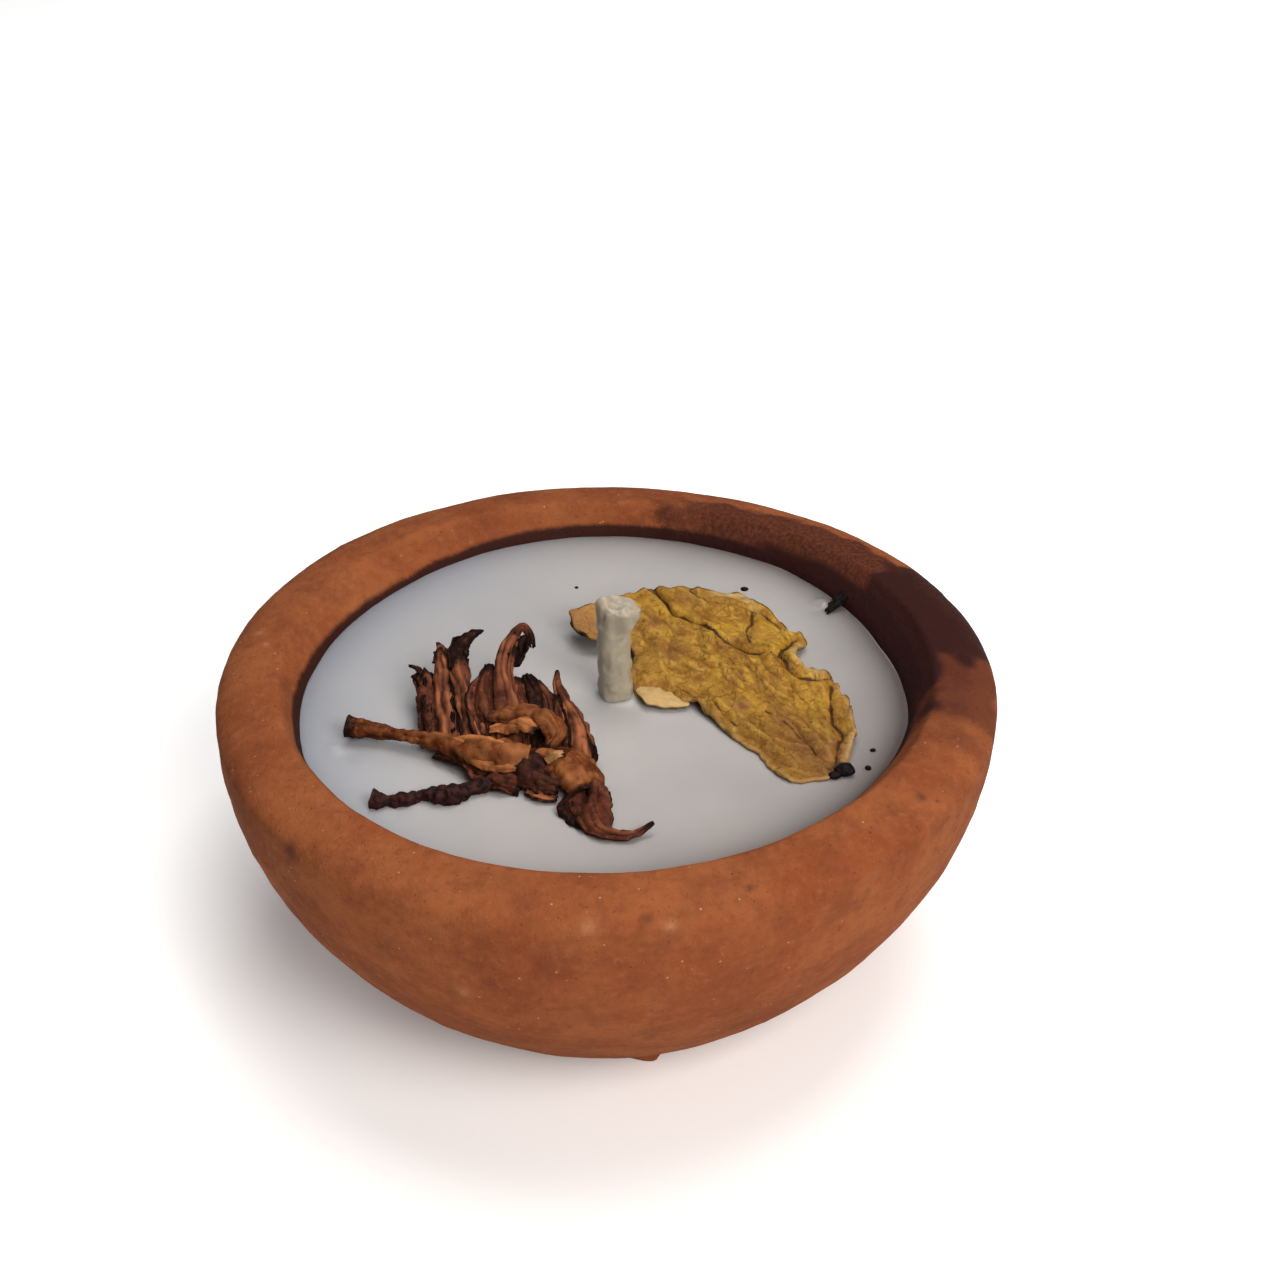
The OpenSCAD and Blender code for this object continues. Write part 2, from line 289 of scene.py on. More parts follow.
def clay_look():
    look = Look("terracotta", roughness=0.88, Specular_IOR_Level=0.08)
    blotch = look.noise(9, 4, 0.6)
    cloud = look.noise(3.2, 4, 0.6, stretch=(1.3, 1.3, 1))
    mottle = look.noise(0.9, 4, 0.65)
    grain = look.noise(0.28, 4, 0.7)
    near = look.cells(1.0)
    patch = look.noise(1.6, 2)
    pale_speck = look.times(look.step(near, 0.13, 0.06), look.step(patch, 0.53, 0.6))
    dark_speck = look.times(look.step(near, 0.14, 0.07), look.step(patch, 0.46, 0.4))
    streaks = look.noise(0.4, 4, 0.75, stretch=(1, 1, 2.5))
    patches = look.times(look.noise(2.2, 5, 0.7), 1.5)
    speckle = look.math("SUBTRACT", look.add(patches, streaks), 1.25)
    soot = look.step(look.add(look.tone("soot"), speckle), 0.1, 0.7)
    soot_tint = look.mix(look.step(streaks, 0.35, 0.7), (0.045, 0.014, 0.01), (0.125, 0.04, 0.024))
    soft = look.times(speckle, 0.35)
    fade = look.step(look.add(look.tone("fade"), soft), 0.1, 0.9)
    char = look.step(look.add(look.tone("char"), soft), 0.25, 0.8)
    damp = look.step(look.add(look.tone("damp"), soft), 0.15, 0.8)
    look.coats(
        (0.222, 0.066, 0.025),
        (look.step(blotch, 0.35, 0.65), 1, (0.278, 0.095, 0.036)),
        (look.step(cloud, 0.42, 0.72), 0.55, (0.155, 0.048, 0.022)),
        (look.step(mottle, 0.5, 0.8), 0.5, (0.33, 0.12, 0.052)),
        (look.step(mottle, 0.5, 0.25), 0.45, (0.17, 0.046, 0.02)),
        (look.step(grain, 0.6, 0.8), 0.3, (0.5, 0.22, 0.11)),
        (pale_speck, 0.5, (0.6, 0.36, 0.22)),
        (dark_speck, 0.7, (0.08, 0.025, 0.015)),
        ("lime", 0.28, (0.6, 0.34, 0.2)),
        ("stain", 0.75, (0.06, 0.022, 0.02)),
        (soot, 0.88, soot_tint),
        (fade, 0.8, (0.105, 0.032, 0.018)),
        (char, 0.95, (0.036, 0.0105, 0.009)),
        (damp, 0.93, (0.026, 0.008, 0.007)))
    look.roughness(look.step(look.math("MAXIMUM", char, damp), 0, 1, 0.88, 0.62))
    pits = look.step(look.cells(0.7), 0.16, 0.0)
    look.bump((grain, 0.09), (mottle, 0.13), (pits, -0.09))
    return look.material


def wax_look(name, tint, shade, roughness):
    look = Look(name, roughness=roughness, Subsurface_Weight=0.8,
                Subsurface_Radius=(1.0, 0.85, 0.7), Subsurface_Scale=1.4 * MM, IOR=1.45)
    look.coats(
        tint,
        (look.step(look.noise(12, 3, 0.5), 0.25, 0.75), 1, shade),
        # soot at the wall, and painted shade over the front right of the wax
        ("soot_and_shade", 1, (0.1, 0.06, 0.045)),
        # painted bluish reflection of the window on the left part of the wax
        ("cool", 1, (0.31, 0.35, 0.42)),
        # painted shade beside the clay wall
        ("dim", 1, (0.1, 0.1, 0.108)))
    look.roughness(look.step(look.noise(7, 2), 0.2, 0.8, roughness, roughness + 0.06))
    look.bump((look.noise(3.5, 2, 0.4), 0.02), (look.noise(0.5, 2, 0.5), 0.0012))
    return look.material


def petal_look():
    look = Look("dried_yellow_petal", roughness=0.45, Specular_IOR_Level=0.22,
                Subsurface_Weight=0.08, Subsurface_Radius=(0.9, 0.6, 0.2),
                Subsurface_Scale=0.4 * MM)
    blotch = look.noise(3.6, 5, 0.6)
    fine = look.noise(0.5, 5, 0.7)
    crinkle = look.noise(1.1, 5, 0.65)
    wide = look.step(look.crackle(2.1, 1.2), 0.04, 0.0)
    narrow = look.step(look.crackle(0.9, 1.4), 0.08, 0.0)
    fine_creases = look.math("MAXIMUM", look.times(wide, look.step(crinkle, 0.42, 0.6)),
                       look.times(narrow, look.step(fine, 0.4, 0.65, 0.0, 0.7)))
    fine_creases = look.times(fine_creases, look.step(look.tone("pale"), 0.1, 0.8, 1.0, 0.0))
    dots = look.times(look.step(look.cells(1.5), 0.13, 0.06),
                      look.step(look.noise(3, 2), 0.5, 0.58))
    pale = look.mix(look.step(fine, 0.4, 0.7), (0.49, 0.34, 0.16), (0.42, 0.275, 0.12))
    dark = look.step(look.add(look.tone("dark"), look.centred(fine, 0.9)), 0.25, 0.9)
    look.coats(
        (0.235, 0.108, 0.011),
        (look.step(blotch, 0.35, 0.65), 1, (0.42, 0.24, 0.027)),
        (look.step(crinkle, 0.5, 0.72), 0.7, (0.52, 0.32, 0.046)),
        (look.step(crinkle, 0.48, 0.3), 0.55, (0.17, 0.072, 0.008)),
        (look.step(fine, 0.52, 0.72), 0.62, (0.15, 0.056, 0.008)),
        (look.step(fine, 0.46, 0.3), 0.4, (0.52, 0.32, 0.05)),
        # painted shade in the fine creases
        (fine_creases, 0.5, (0.12, 0.044, 0.008)),
        ("brown", 0.6, (0.17, 0.072, 0.011)),
        # painted highlight on the wrinkle ridges
        ("ridge", 0.5, (0.56, 0.36, 0.075)),
        # painted shade in the wrinkle valleys
        ("valley_shade", 0.85, (0.1, 0.034, 0.007)),
        (look.step(look.tone("vein"), 0.55, 0.85), 0.55, (0.17, 0.066, 0.01)),
        (dots, 0.85, (0.03, 0.012, 0.006)),
        ("tan", 0.7, (0.34, 0.17, 0.06)),
        ("bruise", 0.7, (0.12, 0.035, 0.022)),
        ("pale", 0.9, pale),
        (dark, 0.92, (0.05, 0.017, 0.006)))
    look.roughness(look.step(fine, 0.3, 0.7, 0.36, 0.6))
    look.bump((fine, 0.09), (crinkle, 0.2), (fine_creases, -0.06))
    return look.material


def flower_look(name, cool, warm):
    """Shrivelled petals: blotched, with painted light on the ridges, nearly black at the margins, and
    with painted shade in the folds.
    """
    look = Look(name, roughness=0.6, Specular_IOR_Level=0.08)
    dark = tuple(0.12 * c for c in cool)
    blotch = look.noise(1.8, 3, 0.5)
    fine = look.noise(0.45, 4, 0.65)
    warmth = look.add(look.tone("warm"), look.centred(blotch, 1.6))
    shade = look.step(look.add(look.tone("shade"), look.centred(fine, 0.8)), 0.15, 0.8)
    look.coats(
        cool,
        # warmth is raised on the fold ridges in strip(): painted light there
        (look.step(warmth, 0.0, 1.0), 1, warm),
        (look.step(fine, 0.5, 0.75), 0.45, dark),
        (look.step(fine, 0.47, 0.25), 0.5, tuple(1.6 * c for c in warm)),
        (look.step(warmth, 0.7, 1.3), 0.7, tuple(1.7 * c for c in warm)),
        ("mauve", 0.78, (0.024, 0.0085, 0.0065)),
        ("cream", 0.75, (0.42, 0.24, 0.1)),
        # painted shade in the folds
        ("valley_shade", 0.78, dark),
        # nearly black: dark margins and tips, dark petals, and the sheets of painted shade between
        # the petals
        (shade, 0.96, (0.009, 0.003, 0.002)))
    look.roughness(look.step(fine, 0.3, 0.7, 0.45, 0.7))
    look.bump((fine, 0.06), (blotch, 0.12))
    return look.material


def plain_look(name, light, dark, size, roughness, depth, **settings):
    """For small or hidden pieces: two tones in fine noise."""
    look = Look(name, roughness=roughness, **settings)
    blots = look.noise(size, 4, 0.65)
    look.coats(dark, (look.step(blots, 0.35, 0.65), 1, light))
    look.roughness(look.step(blots, 0.3, 0.7, roughness - 0.08, roughness + 0.05))
    look.bump((blots, depth))
    return look.material


clay = clay_look()
wax = wax_look("pale_wax", (0.43, 0.408, 0.396), (0.39, 0.374, 0.37), 0.3)
wick_wax = wax_look("wick_wax", (0.43, 0.385, 0.3), (0.36, 0.32, 0.245), 0.4)
yellow = petal_look()
brown = flower_look("brown_petal", (0.09, 0.026, 0.014), (0.21, 0.076, 0.036))
tan = flower_look("tan_petal", (0.14, 0.036, 0.01), (0.26, 0.1, 0.036))
stalk_skin = plain_look("dark_stalk", (0.05, 0.014, 0.011), (0.008, 0.002, 0.002), 0.6, 0.55, 0.15,
                        Specular_IOR_Level=0.12)
soot_black = plain_look("char", (0.014, 0.009, 0.009), (0.003, 0.002, 0.002), 0.4, 0.5, 0.06,
                        Specular_IOR_Level=0.08)
cotton = plain_look("cotton_core", (0.8, 0.76, 0.66), (0.62, 0.58, 0.5), 0.25, 0.9, 0.05)
steel = plain_look("tab_steel", (0.6, 0.6, 0.6), (0.45, 0.45, 0.46), 0.6, 0.35, 0.004, Metallic=1.0)
glue = plain_look("glue", (0.7, 0.62, 0.42), (0.6, 0.52, 0.34), 2.0, 0.35, 0.02)

for hidden_node, material in (("wick_core", cotton), ("wick_tab", steel), ("glue_dot", glue)):
    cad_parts[hidden_node].data.materials.clear()
    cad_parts[hidden_node].data.materials.append(material)


# ---- Bowl ----

LIP_H = BOWL_H - WIDEST_Z
# How square each curve is: 2 gives an ellipse.
OUTER_LIP_POWER = 1.93
OUTER_WALL_POWER = 2.14
INNER_LIP_POWER = 1.4
CAVITY_POWER = 2.3


def wall_radius(low_r, high_r, share, power):
    return low_r + (high_r - low_r) * (1 - (1 - share) ** power)


def lip_radius(side_r, share, power):
    return CREST_R + (side_r - CREST_R) * (1 - min(1, share) ** power) ** (1 / power)


def outer_radius(z):
    if z > WIDEST_Z:
        return lip_radius(OUTER_R, (z - WIDEST_Z) / LIP_H, OUTER_LIP_POWER)
    return wall_radius(FOOT_R, OUTER_R, z / WIDEST_Z, OUTER_WALL_POWER)


def inner_radius(z):
    if z > THROAT_Z:
        return lip_radius(THROAT_R, (z - THROAT_Z) / (BOWL_H - THROAT_Z), INNER_LIP_POWER)
    return wall_radius(FLOOR_R, THROAT_R, (z - FLOOR_Z) / (THROAT_Z - FLOOR_Z), CAVITY_POWER)


def wobble(angle, z):
    """How far the hand-made wall stands out from a true circle."""
    return 0.25 * math.cos(3 * angle - math.radians(30)) * min(1, z / 12)


# How far the inside of the hand-made wall leans in at the wax: direction in degrees, mm.
WALL_LEAN = [(-180, 0.3), (-160, -0.35), (-130, 0.0), (-90, 0.0), (-60, 0.4), (-30, 0.5),
             (-12, 0.4), (0, 0.9), (15, 1.5), (30, 1.2), (50, 0.4), (75, 0.1), (95, 0.1), (115, 0.6),
             (135, 1.3), (150, 1.2), (165, 0.8), (180, 0.3)]


def wall_lean(angle, z):
    """The same in mm at any height: full at the wax, gone at the crest and at the floor."""
    lean = np.interp(signed_degrees(angle), *zip(*WALL_LEAN))
    return lean * smooth(BOWL_H - 0.2, WAX_Z + 0.2, z) * smooth(FLOOR_Z, WAX_Z - 3, z)


def wall_at(angle, z):
    """Distance from the axis to the inside of the hand-made wall."""
    return inner_radius(z) + wobble(angle, z) - wall_lean(angle, z)


def bowl_stations():
    """(radius, height) from the middle of the foot, up outside, over the lip and down inside."""
    foot = [(radius, 0.0) for radius in np.linspace(0, FOOT_R, 27)[:-1]]
    outer = [(outer_radius(z), z) for z in np.linspace(0, WIDEST_Z, 60)]
    rises = LIP_H * np.sin(np.linspace(0, math.pi / 2, 30)[1:])
    over = [(outer_radius(z), z) for z in WIDEST_Z + rises]
    drops = (BOWL_H - WAX_Z + 0.6) * (1 - np.cos(np.linspace(0, math.pi / 2, 26)[1:]))
    inner = [(inner_radius(z), z) for z in BOWL_H - drops]
    hidden = [(inner_radius(z), z) for z in np.linspace(WAX_Z - 2, FLOOR_Z, 14)]
    seen = resample(outer + over + inner, 150)
    return np.vstack([foot, seen, hidden, [(FLOOR_R / 2, FLOOR_Z)]])


# Marks on the clay: direction from the axis in degrees, height, radius, and how far it stands out.
LUMPS = [(-110, 19.1, 1.2, 0.4), (-104, 18.4, 0.9, -0.15), (-92.5, 27.7, 0.5, -0.12),
         (-82, 27.4, 0.55, -0.1), (114, 26.5, 0.5, 0.2), (-118, 9, 2.2, 0.15),
         (150, 15, 1.8, 0.3), (35, 12, 2.4, 0.2), (95, 20, 1.3, -0.25)]
LIME = [(-92.5, 27.7, 0.55), (-82, 27.5, 0.5), (-110, 19.4, 0.5), (168, 28.7, 0.4),
        (172, 28.9, 0.3), (140, 14, 0.5), (60, 18, 0.5), (10, 9, 0.4)]
STAINS = [(-137.5, 27, 0.8), (-85, 28.0, 0.45), (-37, 28.6, 0.45), (-70, 28.5, 0.35),
          (120, 22, 0.9), (45, 16, 0.6)]
BURR_ANGLE = math.radians(-79)
BURR_OUT = 1.2


def on_bowl(degrees, z):
    """A point on the outside of the bowl."""
    angle = math.radians(degrees)
    return np.array([outer_radius(z) * math.cos(angle), outer_radius(z) * math.sin(angle), z])


def spots(points, marks):
    """1 at each mark, falling to 0 outside its radius."""
    total = np.zeros(len(points))
    for degrees, z, radius in marks:
        far = np.linalg.norm(points - on_bowl(degrees, z), axis=1)
        total = np.maximum(total, bell(far, radius))
    return total


def burr(angle, z):
    """The lump of clay at the foot, steep on one side, that the cutting string left."""
    run = (angle - BURR_ANGLE) * FOOT_R
    width = 0.7 if run > 0 else 2.0
    return BURR_OUT * math.exp(-(run / width) ** 2) * max(0.0, 1 - z / 1.4) ** 0.7


def foot_relief(x, y):
    """Curved marks that the cutting string leaves under the foot."""
    far = math.hypot(x + 30, y - 6)
    inside = smooth(FOOT_R - 0.4, FOOT_R - 2.5, math.hypot(x, y))
    marks = 0.5 + 0.5 * math.sin(2 * math.pi * far / 1.7 + 2 * rough((x, y, 0), 6))
    return inside * (0.1 + 0.09 * marks + 0.05 * abs(rough((x, y, 3), 2)))


BOWL_COLUMNS = 400


def bowl_surface():
    """Points of the hand-made bowl without its relief, and the way out of the clay at each."""
    stations = bowl_stations()
    ahead = np.gradient(stations, axis=0)
    ahead /= np.linalg.norm(ahead, axis=1)[:, None]
    crest = int(np.argmax(stations[:, 1]))
    angles = [math.remainder(angle, 2 * math.pi) for angle in whole_turn(BOWL_COLUMNS)]
    points, out = [], []
    for k, ((radius, z), (step_r, step_z)) in enumerate(zip(stations, ahead)):
        share = smooth(FOOT_R / 2, FOOT_R, radius) if z < 0.01 else 1
        for angle in angles:
            grown = radius
            if radius > FOOT_R / 2:
                grown += share * (wobble(angle, z) + burr(angle, z))
            if k > crest:
                grown -= wall_lean(angle, z)
            points.append((grown * math.cos(angle), grown * math.sin(angle), z))
            out.append((step_z * math.cos(angle), step_z * math.sin(angle), -step_r))
    return np.array(points), np.array(out)


def clay_relief(points):
    """How far lumps, pits and throwing marks stand out. The clay under the wax stays smooth."""
    random.seed(7)
    pits = [(random.uniform(-180, 180), random.uniform(2, 28.6), random.uniform(0.25, 0.6),
             random.uniform(-0.18, 0.08)) for _ in range(90)]
    proud = np.zeros(len(points))
    for degrees, z, radius, height in LUMPS + pits:
        proud += height * bell(np.linalg.norm(points - on_bowl(degrees, z), axis=1), radius)
    for i, point in enumerate(points):
        x, y, z = point
        if z > 0.01:
            grain = 0.1 * rough(point, 8, 2) + 0.035 * rough(point, 1.8, 3, 5)
            rings = 0.07 * noise_of(x / 40, y / 40, z * 0.6)
            proud[i] += (grain + rings) * min(1, z / 1.5)
    heights, reach = points[:, 2], np.hypot(points[:, 0], points[:, 1])
    cavity = np.array([inner_radius(z) for z in heights.clip(FLOOR_Z, BOWL_H)])
    buried = (heights > 0.01) & (heights < WAX_Z - 0.7) & (reach < THROAT_R + 0.8)
    proud[buried & (reach <= cavity + 0.6)] = 0
    return proud


def clay_tones(points):
    """Soot, char, fading and damp on the right part of the rim, and the small marks."""
    reach = np.hypot(points[:, 0], points[:, 1])
    above_wax = points[:, 2] - WAX_Z
    degrees = np.degrees(np.arctan2(points[:, 1], points[:, 0]))
    degrees = degrees + np.array([7 * noise.noise(Vector(p) * 0.35) for p in points])
    across = (reach - THROAT_R) / (OUTER_R - THROAT_R)
    across = across + np.array([0.1 * noise.noise(Vector(p) * 0.5) for p in points])
    on_rim = smooth(-2, -0.5, above_wax)
    inner_side = reach < CREST_R
    outer_side = smooth(WIDEST_Z - 3, WIDEST_Z + 0.5, points[:, 2])
    limit = 0.5 + 0.22 * smooth(75, 30, degrees)
    band = smooth(limit + 0.14, limit - 0.12, across)
    outer_char = outer_side * smooth(33, 27, degrees) * smooth(-4, 7, degrees)
    inner_char = smooth(0.62, 0.25, across) * smooth(40, 20, degrees) * smooth(-20, -4, degrees)
    damp_top = 1.8 - 0.45 * np.interp(degrees, *zip(*WALL_LEAN))
    damp = smooth(damp_top, damp_top - 1.1, above_wax) * smooth(-2.2, -0.8, above_wax)
    wet = smooth(2.6, 1.2, above_wax) * smooth(70, 40, degrees) * smooth(-15, 5, degrees)
    return {
        "soot": on_rim * smooth(90, 60, degrees) * smooth(-22, 6, degrees) * band,
        "char": on_rim * np.maximum(outer_char, inner_char),
        "damp": inner_side * np.maximum(damp, on_rim * wet),
        "fade": (on_rim * smooth(-34, -6, degrees) * smooth(22, 6, degrees)
                 * smooth(1.12, 0.92, across)),
        "lime": spots(points, LIME), "stain": spots(points, STAINS)}


def bowl_piece():
    plain, out = bowl_surface()
    points = plain + out * clay_relief(plain)[:, None]
    under = plain[:, 2] < 0.01
    points[under, 2] = [foot_relief(x, y) for x, y, _ in plain[under]]
    points[:, 2] = np.maximum(points[:, 2], 0)
    # The first ring has no size, so one point stands for it.
    points = np.vstack([points[BOWL_COLUMNS:], [(0, 0, 0.15), (0, 0, FLOOR_Z)]])
    tones = {name: np.append(values[BOWL_COLUMNS:], [0, 0])
             for name, values in clay_tones(plain).items()}
    faces = tube_faces(len(points) // BOWL_COLUMNS, BOWL_COLUMNS)
    fit(make_piece("clay_bowl_thrown", points, faces, clay, tones), "clay_bowl")


# ---- Wax ----

# Places where the wax rises or sinks: x, y, radius, height.
WAX_MARKS = [(-23.6, -8.2, 0.9, 0.25), (-22.3, -8.8, 1.1, -0.12), (21.0, 14.5, 0.7, 0.4),
             (20.3, 13.2, 0.8, -0.12), (-18.5, 18.5, 0.5, 0.05), (1.8, -3.4, 1.2, -0.06),
             (-8.5, -13.6, 4.0, 0.14), (-15, -16, 1.2, 0.1), (-18.8, -16.3, 1.1, 0.12),
             (-1.2, -18, 2.0, 0.1), (17, -13, 2.0, 0.1), (5, -2.5, 1.6, 0.08)]

# How much painted shade darkens the wax beside the clay: direction in degrees, share.
WAX_WALL_SHADE = [(-180, 0.4), (-150, 0.2), (-120, 0.1), (-90, 0.05), (-60, 0.15), (-30, 0.45), (0, 0.6),
           (30, 0.55), (60, 0.5), (90, 0.4), (120, 0.4), (150, 0.5), (180, 0.4)]


def wax_height(x, y, angle):
    from_wall = max(0, wall_at(angle, WAX_Z) - math.hypot(x, y))
    from_wick = max(0, math.hypot(x - WICK.x, y - WICK.y) - COAT_R)
    height = 0.045 * rough((x, y, 0), 11, 2) + 0.012 * rough((x, y, 9), 2.5, 2)
    height += CREEP * (0.3 * math.exp(-from_wall / 0.8) + 1.3 * math.exp(-from_wick / 0.45))
    for mark_x, mark_y, radius, rise in WAX_MARKS:
        height += rise * bell(math.hypot(x - mark_x, y - mark_y), radius)
    return WAX_Z + height


def wax_soot_and_shade(angle, from_wall):
    """Soot of the wax near the wall, painted shade over its front right, a painted bluish reflection
    on its left and painted shade beside the clay, all strongest at the wall.
    """
    charred = 0.45 + 0.5 * smooth(0.3, 0.95, math.cos(angle - math.radians(28)))
    back = smooth(-0.5, 0.3, math.sin(angle))
    # painted shade: the wax is darker towards the front right
    front_right_shade = smooth(0.0, 1.0, math.cos(angle + math.radians(50)))
    # painted bluish reflection on the left
    left = smooth(0.1, 0.9, math.cos(angle - math.radians(165)))
    rim_soot = (charred + 0.4 * back * (1 - charred)) * math.exp(-from_wall / (0.5 + 0.9 * charred))
    # soot at the rim, plus painted shade over the front right part
    soot_and_shade = rim_soot + 0.5 * front_right_shade * math.exp(-from_wall / 8)
    # painted shade beside the clay wall
    dim = np.interp(signed_degrees(angle), *zip(*WAX_WALL_SHADE)) * math.exp(-from_wall / 4.5)
    return soot_and_shade, 0.6 * left * math.exp(-from_wall / 7), dim


def wax_piece():
    """One ring-shaped solid: its bore is round the wick, and its outside follows the clay."""
    columns = 288
    tab_top = tab_low.z + TAB_T
    wick = np.array([WICK.x, WICK.y])
    shares = np.concatenate([0.06 * np.linspace(0, 1, 12) ** 1.5, np.linspace(0.07, 0.95, 84),
                             1 - 0.045 * np.linspace(1, 0, 16) ** 1.5])
    side = np.linspace(WAX_Z - 0.8, FLOOR_Z + 0.02, 16)
    pocket = [(GLUE_R, FLOOR_Z + 0.02), (GLUE_R, tab_low.z), (TAB_R, tab_low.z), (TAB_R, tab_top),
              (COLLAR_R, tab_top), (COLLAR_R, coat_low.z), (COAT_R, coat_low.z),
              (COAT_R, WAX_Z - 2)]
    angles = whole_turn(columns)
    turns = [np.array([math.cos(angle), math.sin(angle)]) for angle in angles]
    points, wax_tones = [], []
    for share in shares:
        for angle, turn in zip(angles, turns):
            wall = (wall_at(angle, WAX_Z) + 0.05) * turn
            at = (1 - share) * (wick + COAT_R * turn) + share * wall
            points.append((*at, wax_height(*at, angle)))
            wax_tones.append(wax_soot_and_shade(angle, (1 - share) * THROAT_R))
    for z in side:
        points += [(*((wall_at(angle, z) - 0.02) * turn), z) for angle, turn in zip(angles, turns)]
    for radius, z in pocket:
        points += [(*(wick + radius * turn), z) for turn in turns]
    wax_tones += [wax_soot_and_shade(angle, 0) for angle in angles] * (len(side) + len(pocket))
    rows = len(points) // columns
    last = (rows - 1) * columns
    faces = grid_faces(rows, columns, True)
    faces += [(last + j, last + (j + 1) % columns, (j + 1) % columns, j) for j in range(columns)]
    tones = dict(zip(("soot_and_shade", "cool", "dim"), zip(*wax_tones)))
    fit(make_piece("poured_wax", points, [face[::-1] for face in faces], wax, tones),
        "wax_fill")


# ---- Wick ----

def wick_point(angle, radius, z, cap_low, top):
    """A point of the coat's outside, with the column's lumps and the cap's overhang."""
    turn = Vector((math.cos(angle), math.sin(angle), 0))
    place = Vector((WICK.x + radius * turn.x, WICK.y + radius * turn.y, z))
    low = cap_low + 0.9 * noise.noise(turn * 1.3 + 4 * UP)
    cap = float(smooth(low - 0.35, low + 0.45, z)) * min(1, radius / COAT_R)
    jut = 0.14 + 0.66 * max(0.0, turn.x) + 0.16 * noise.noise(turn * 1.6)
    braid = 0.05 * math.sin(2 * angle + 2.4 * z) * (1 - cap)
    run = 0.12 * noise_of(turn.x * 2.2, turn.y * 2.2, z * 0.35)
    bump = 0.12 * rough(place, 1.4, 2) + 0.07 * rough(place, 0.5, 2, 3)
    grown = radius + (braid + run + bump) * min(1, radius) + cap * jut
    lean = 0.12 * float(smooth(WAX_Z, WAX_Z + 5, z)) * (1 - cap)
    place = Vector((WICK.x + grown * turn.x - lean, WICK.y + grown * turn.y * (1 - 0.12 * cap), z))
    nub = bell(math.hypot(place.x - WICK.x + 1.0, place.y - WICK.y - 0.1), 0.55)
    rise = 0.6 * nub - 0.22 * turn.x * radius / COAT_R + 0.22 * rough(place, 1.1, 3, 8)
    place.z += float(rise * smooth(top - 1.4, top - 0.1, z))
    return place


def wick_piece():
    """The coat: a lumpy column under an uneven cap of wax that juts out to the right."""
    columns = 72
    top = coat_high.z - 0.8
    cap_low = top - 2.3
    socket_z = core_high.z + 0.02
    bore = [(0.001, socket_z), (CORE_R + 0.02, socket_z), (CORE_R + 0.02, coat_low.z),
            (COAT_R - 0.01, coat_low.z), (COAT_R - 0.01, WAX_Z - 1)]
    column = [(COAT_R, z) for z in np.linspace(WAX_Z - 0.6, top - 0.7, 64)]
    crown = [(COAT_R - 0.6 * (1 - math.cos(t)), top - 0.7 + 0.7 * math.sin(t))
             for t in np.linspace(0.12, math.pi / 2, 12)]
    lid = [(radius, top) for radius in np.linspace(COAT_R - 0.7, 0.1, 8)]
    angles = whole_turn(columns)
    points, soot_and_shade = [], []
    for radius, z in bore:
        points += [Vector((WICK.x + radius * math.cos(angle), WICK.y + radius * math.sin(angle), z))
                   for angle in angles]
    for radius, z in column + crown + lid:
        points += [wick_point(angle, radius, z, cap_low, top) for angle in angles]
    for _, z in bore + column + crown + lid:
        soot_and_shade += [0.2 * float(smooth(cap_low - 0.5, cap_low + 1.5, z))] * columns
    faces = tube_faces(len(points) // columns, columns)
    peak = max(p.z for p in points[-columns:])
    points += [Vector((WICK.x, WICK.y, socket_z)), Vector((WICK.x, WICK.y, peak))]
    piece = make_piece("wick_coat_dipped", points, faces, wick_wax, {"soot_and_shade": soot_and_shade + [0, 0.2]})
    fit(piece, "wick_coat")


# ---- Yellow petal ----

# The petal from above. It narrows from the claw at the lower right to the tip at the left.
PETAL_OUTLINE = [
    (-3.2, 9.9), (-1.2, 10.9), (2.3, 12.5), (4.7, 13.2), (7.9, 13.3), (9.8, 13.9), (12.7, 14.5),
    (14.1, 13.5), (15.8, 11.7), (17.1, 9.2), (18.1, 8.3), (18.7, 6.7), (17.7, 4.4), (17.7, 2.7),
    (18.9, 1.3), (20.7, 0.2), (21.2, -2.2), (21.7, -4.0), (22.0, -6.9), (21.6, -9.6),
    (20.8, -11.6), (20.0, -12.9), (18.8, -13.8), (17.0, -14.2), (15.2, -13.7), (14.0, -12.2),
    (13.6, -10.9), (13.0, -9.7), (11.2, -7.6), (9.2, -4.6), (7.9, -2.8), (6.3, -2.9), (4.2, -2.0),
    (2.7, -0.9), (2.4, 1.7), (2.6, 4.4), (1.0, 6.3), (-0.6, 6.1), (-1.8, 6.9), (-2.7, 7.6),
]
PETAL_ALONG = np.array([18, -22]) / math.hypot(18, 22)
PETAL_ACROSS = np.array([22, 18]) / math.hypot(18, 22)
PETAL_T = 0.26
PETAL_CLAW = (20.2, -12.9)
PETAL_FAN = np.array([23.0, -17.0])      # the point that the veins run to
PETAL_WRINKLES = 240
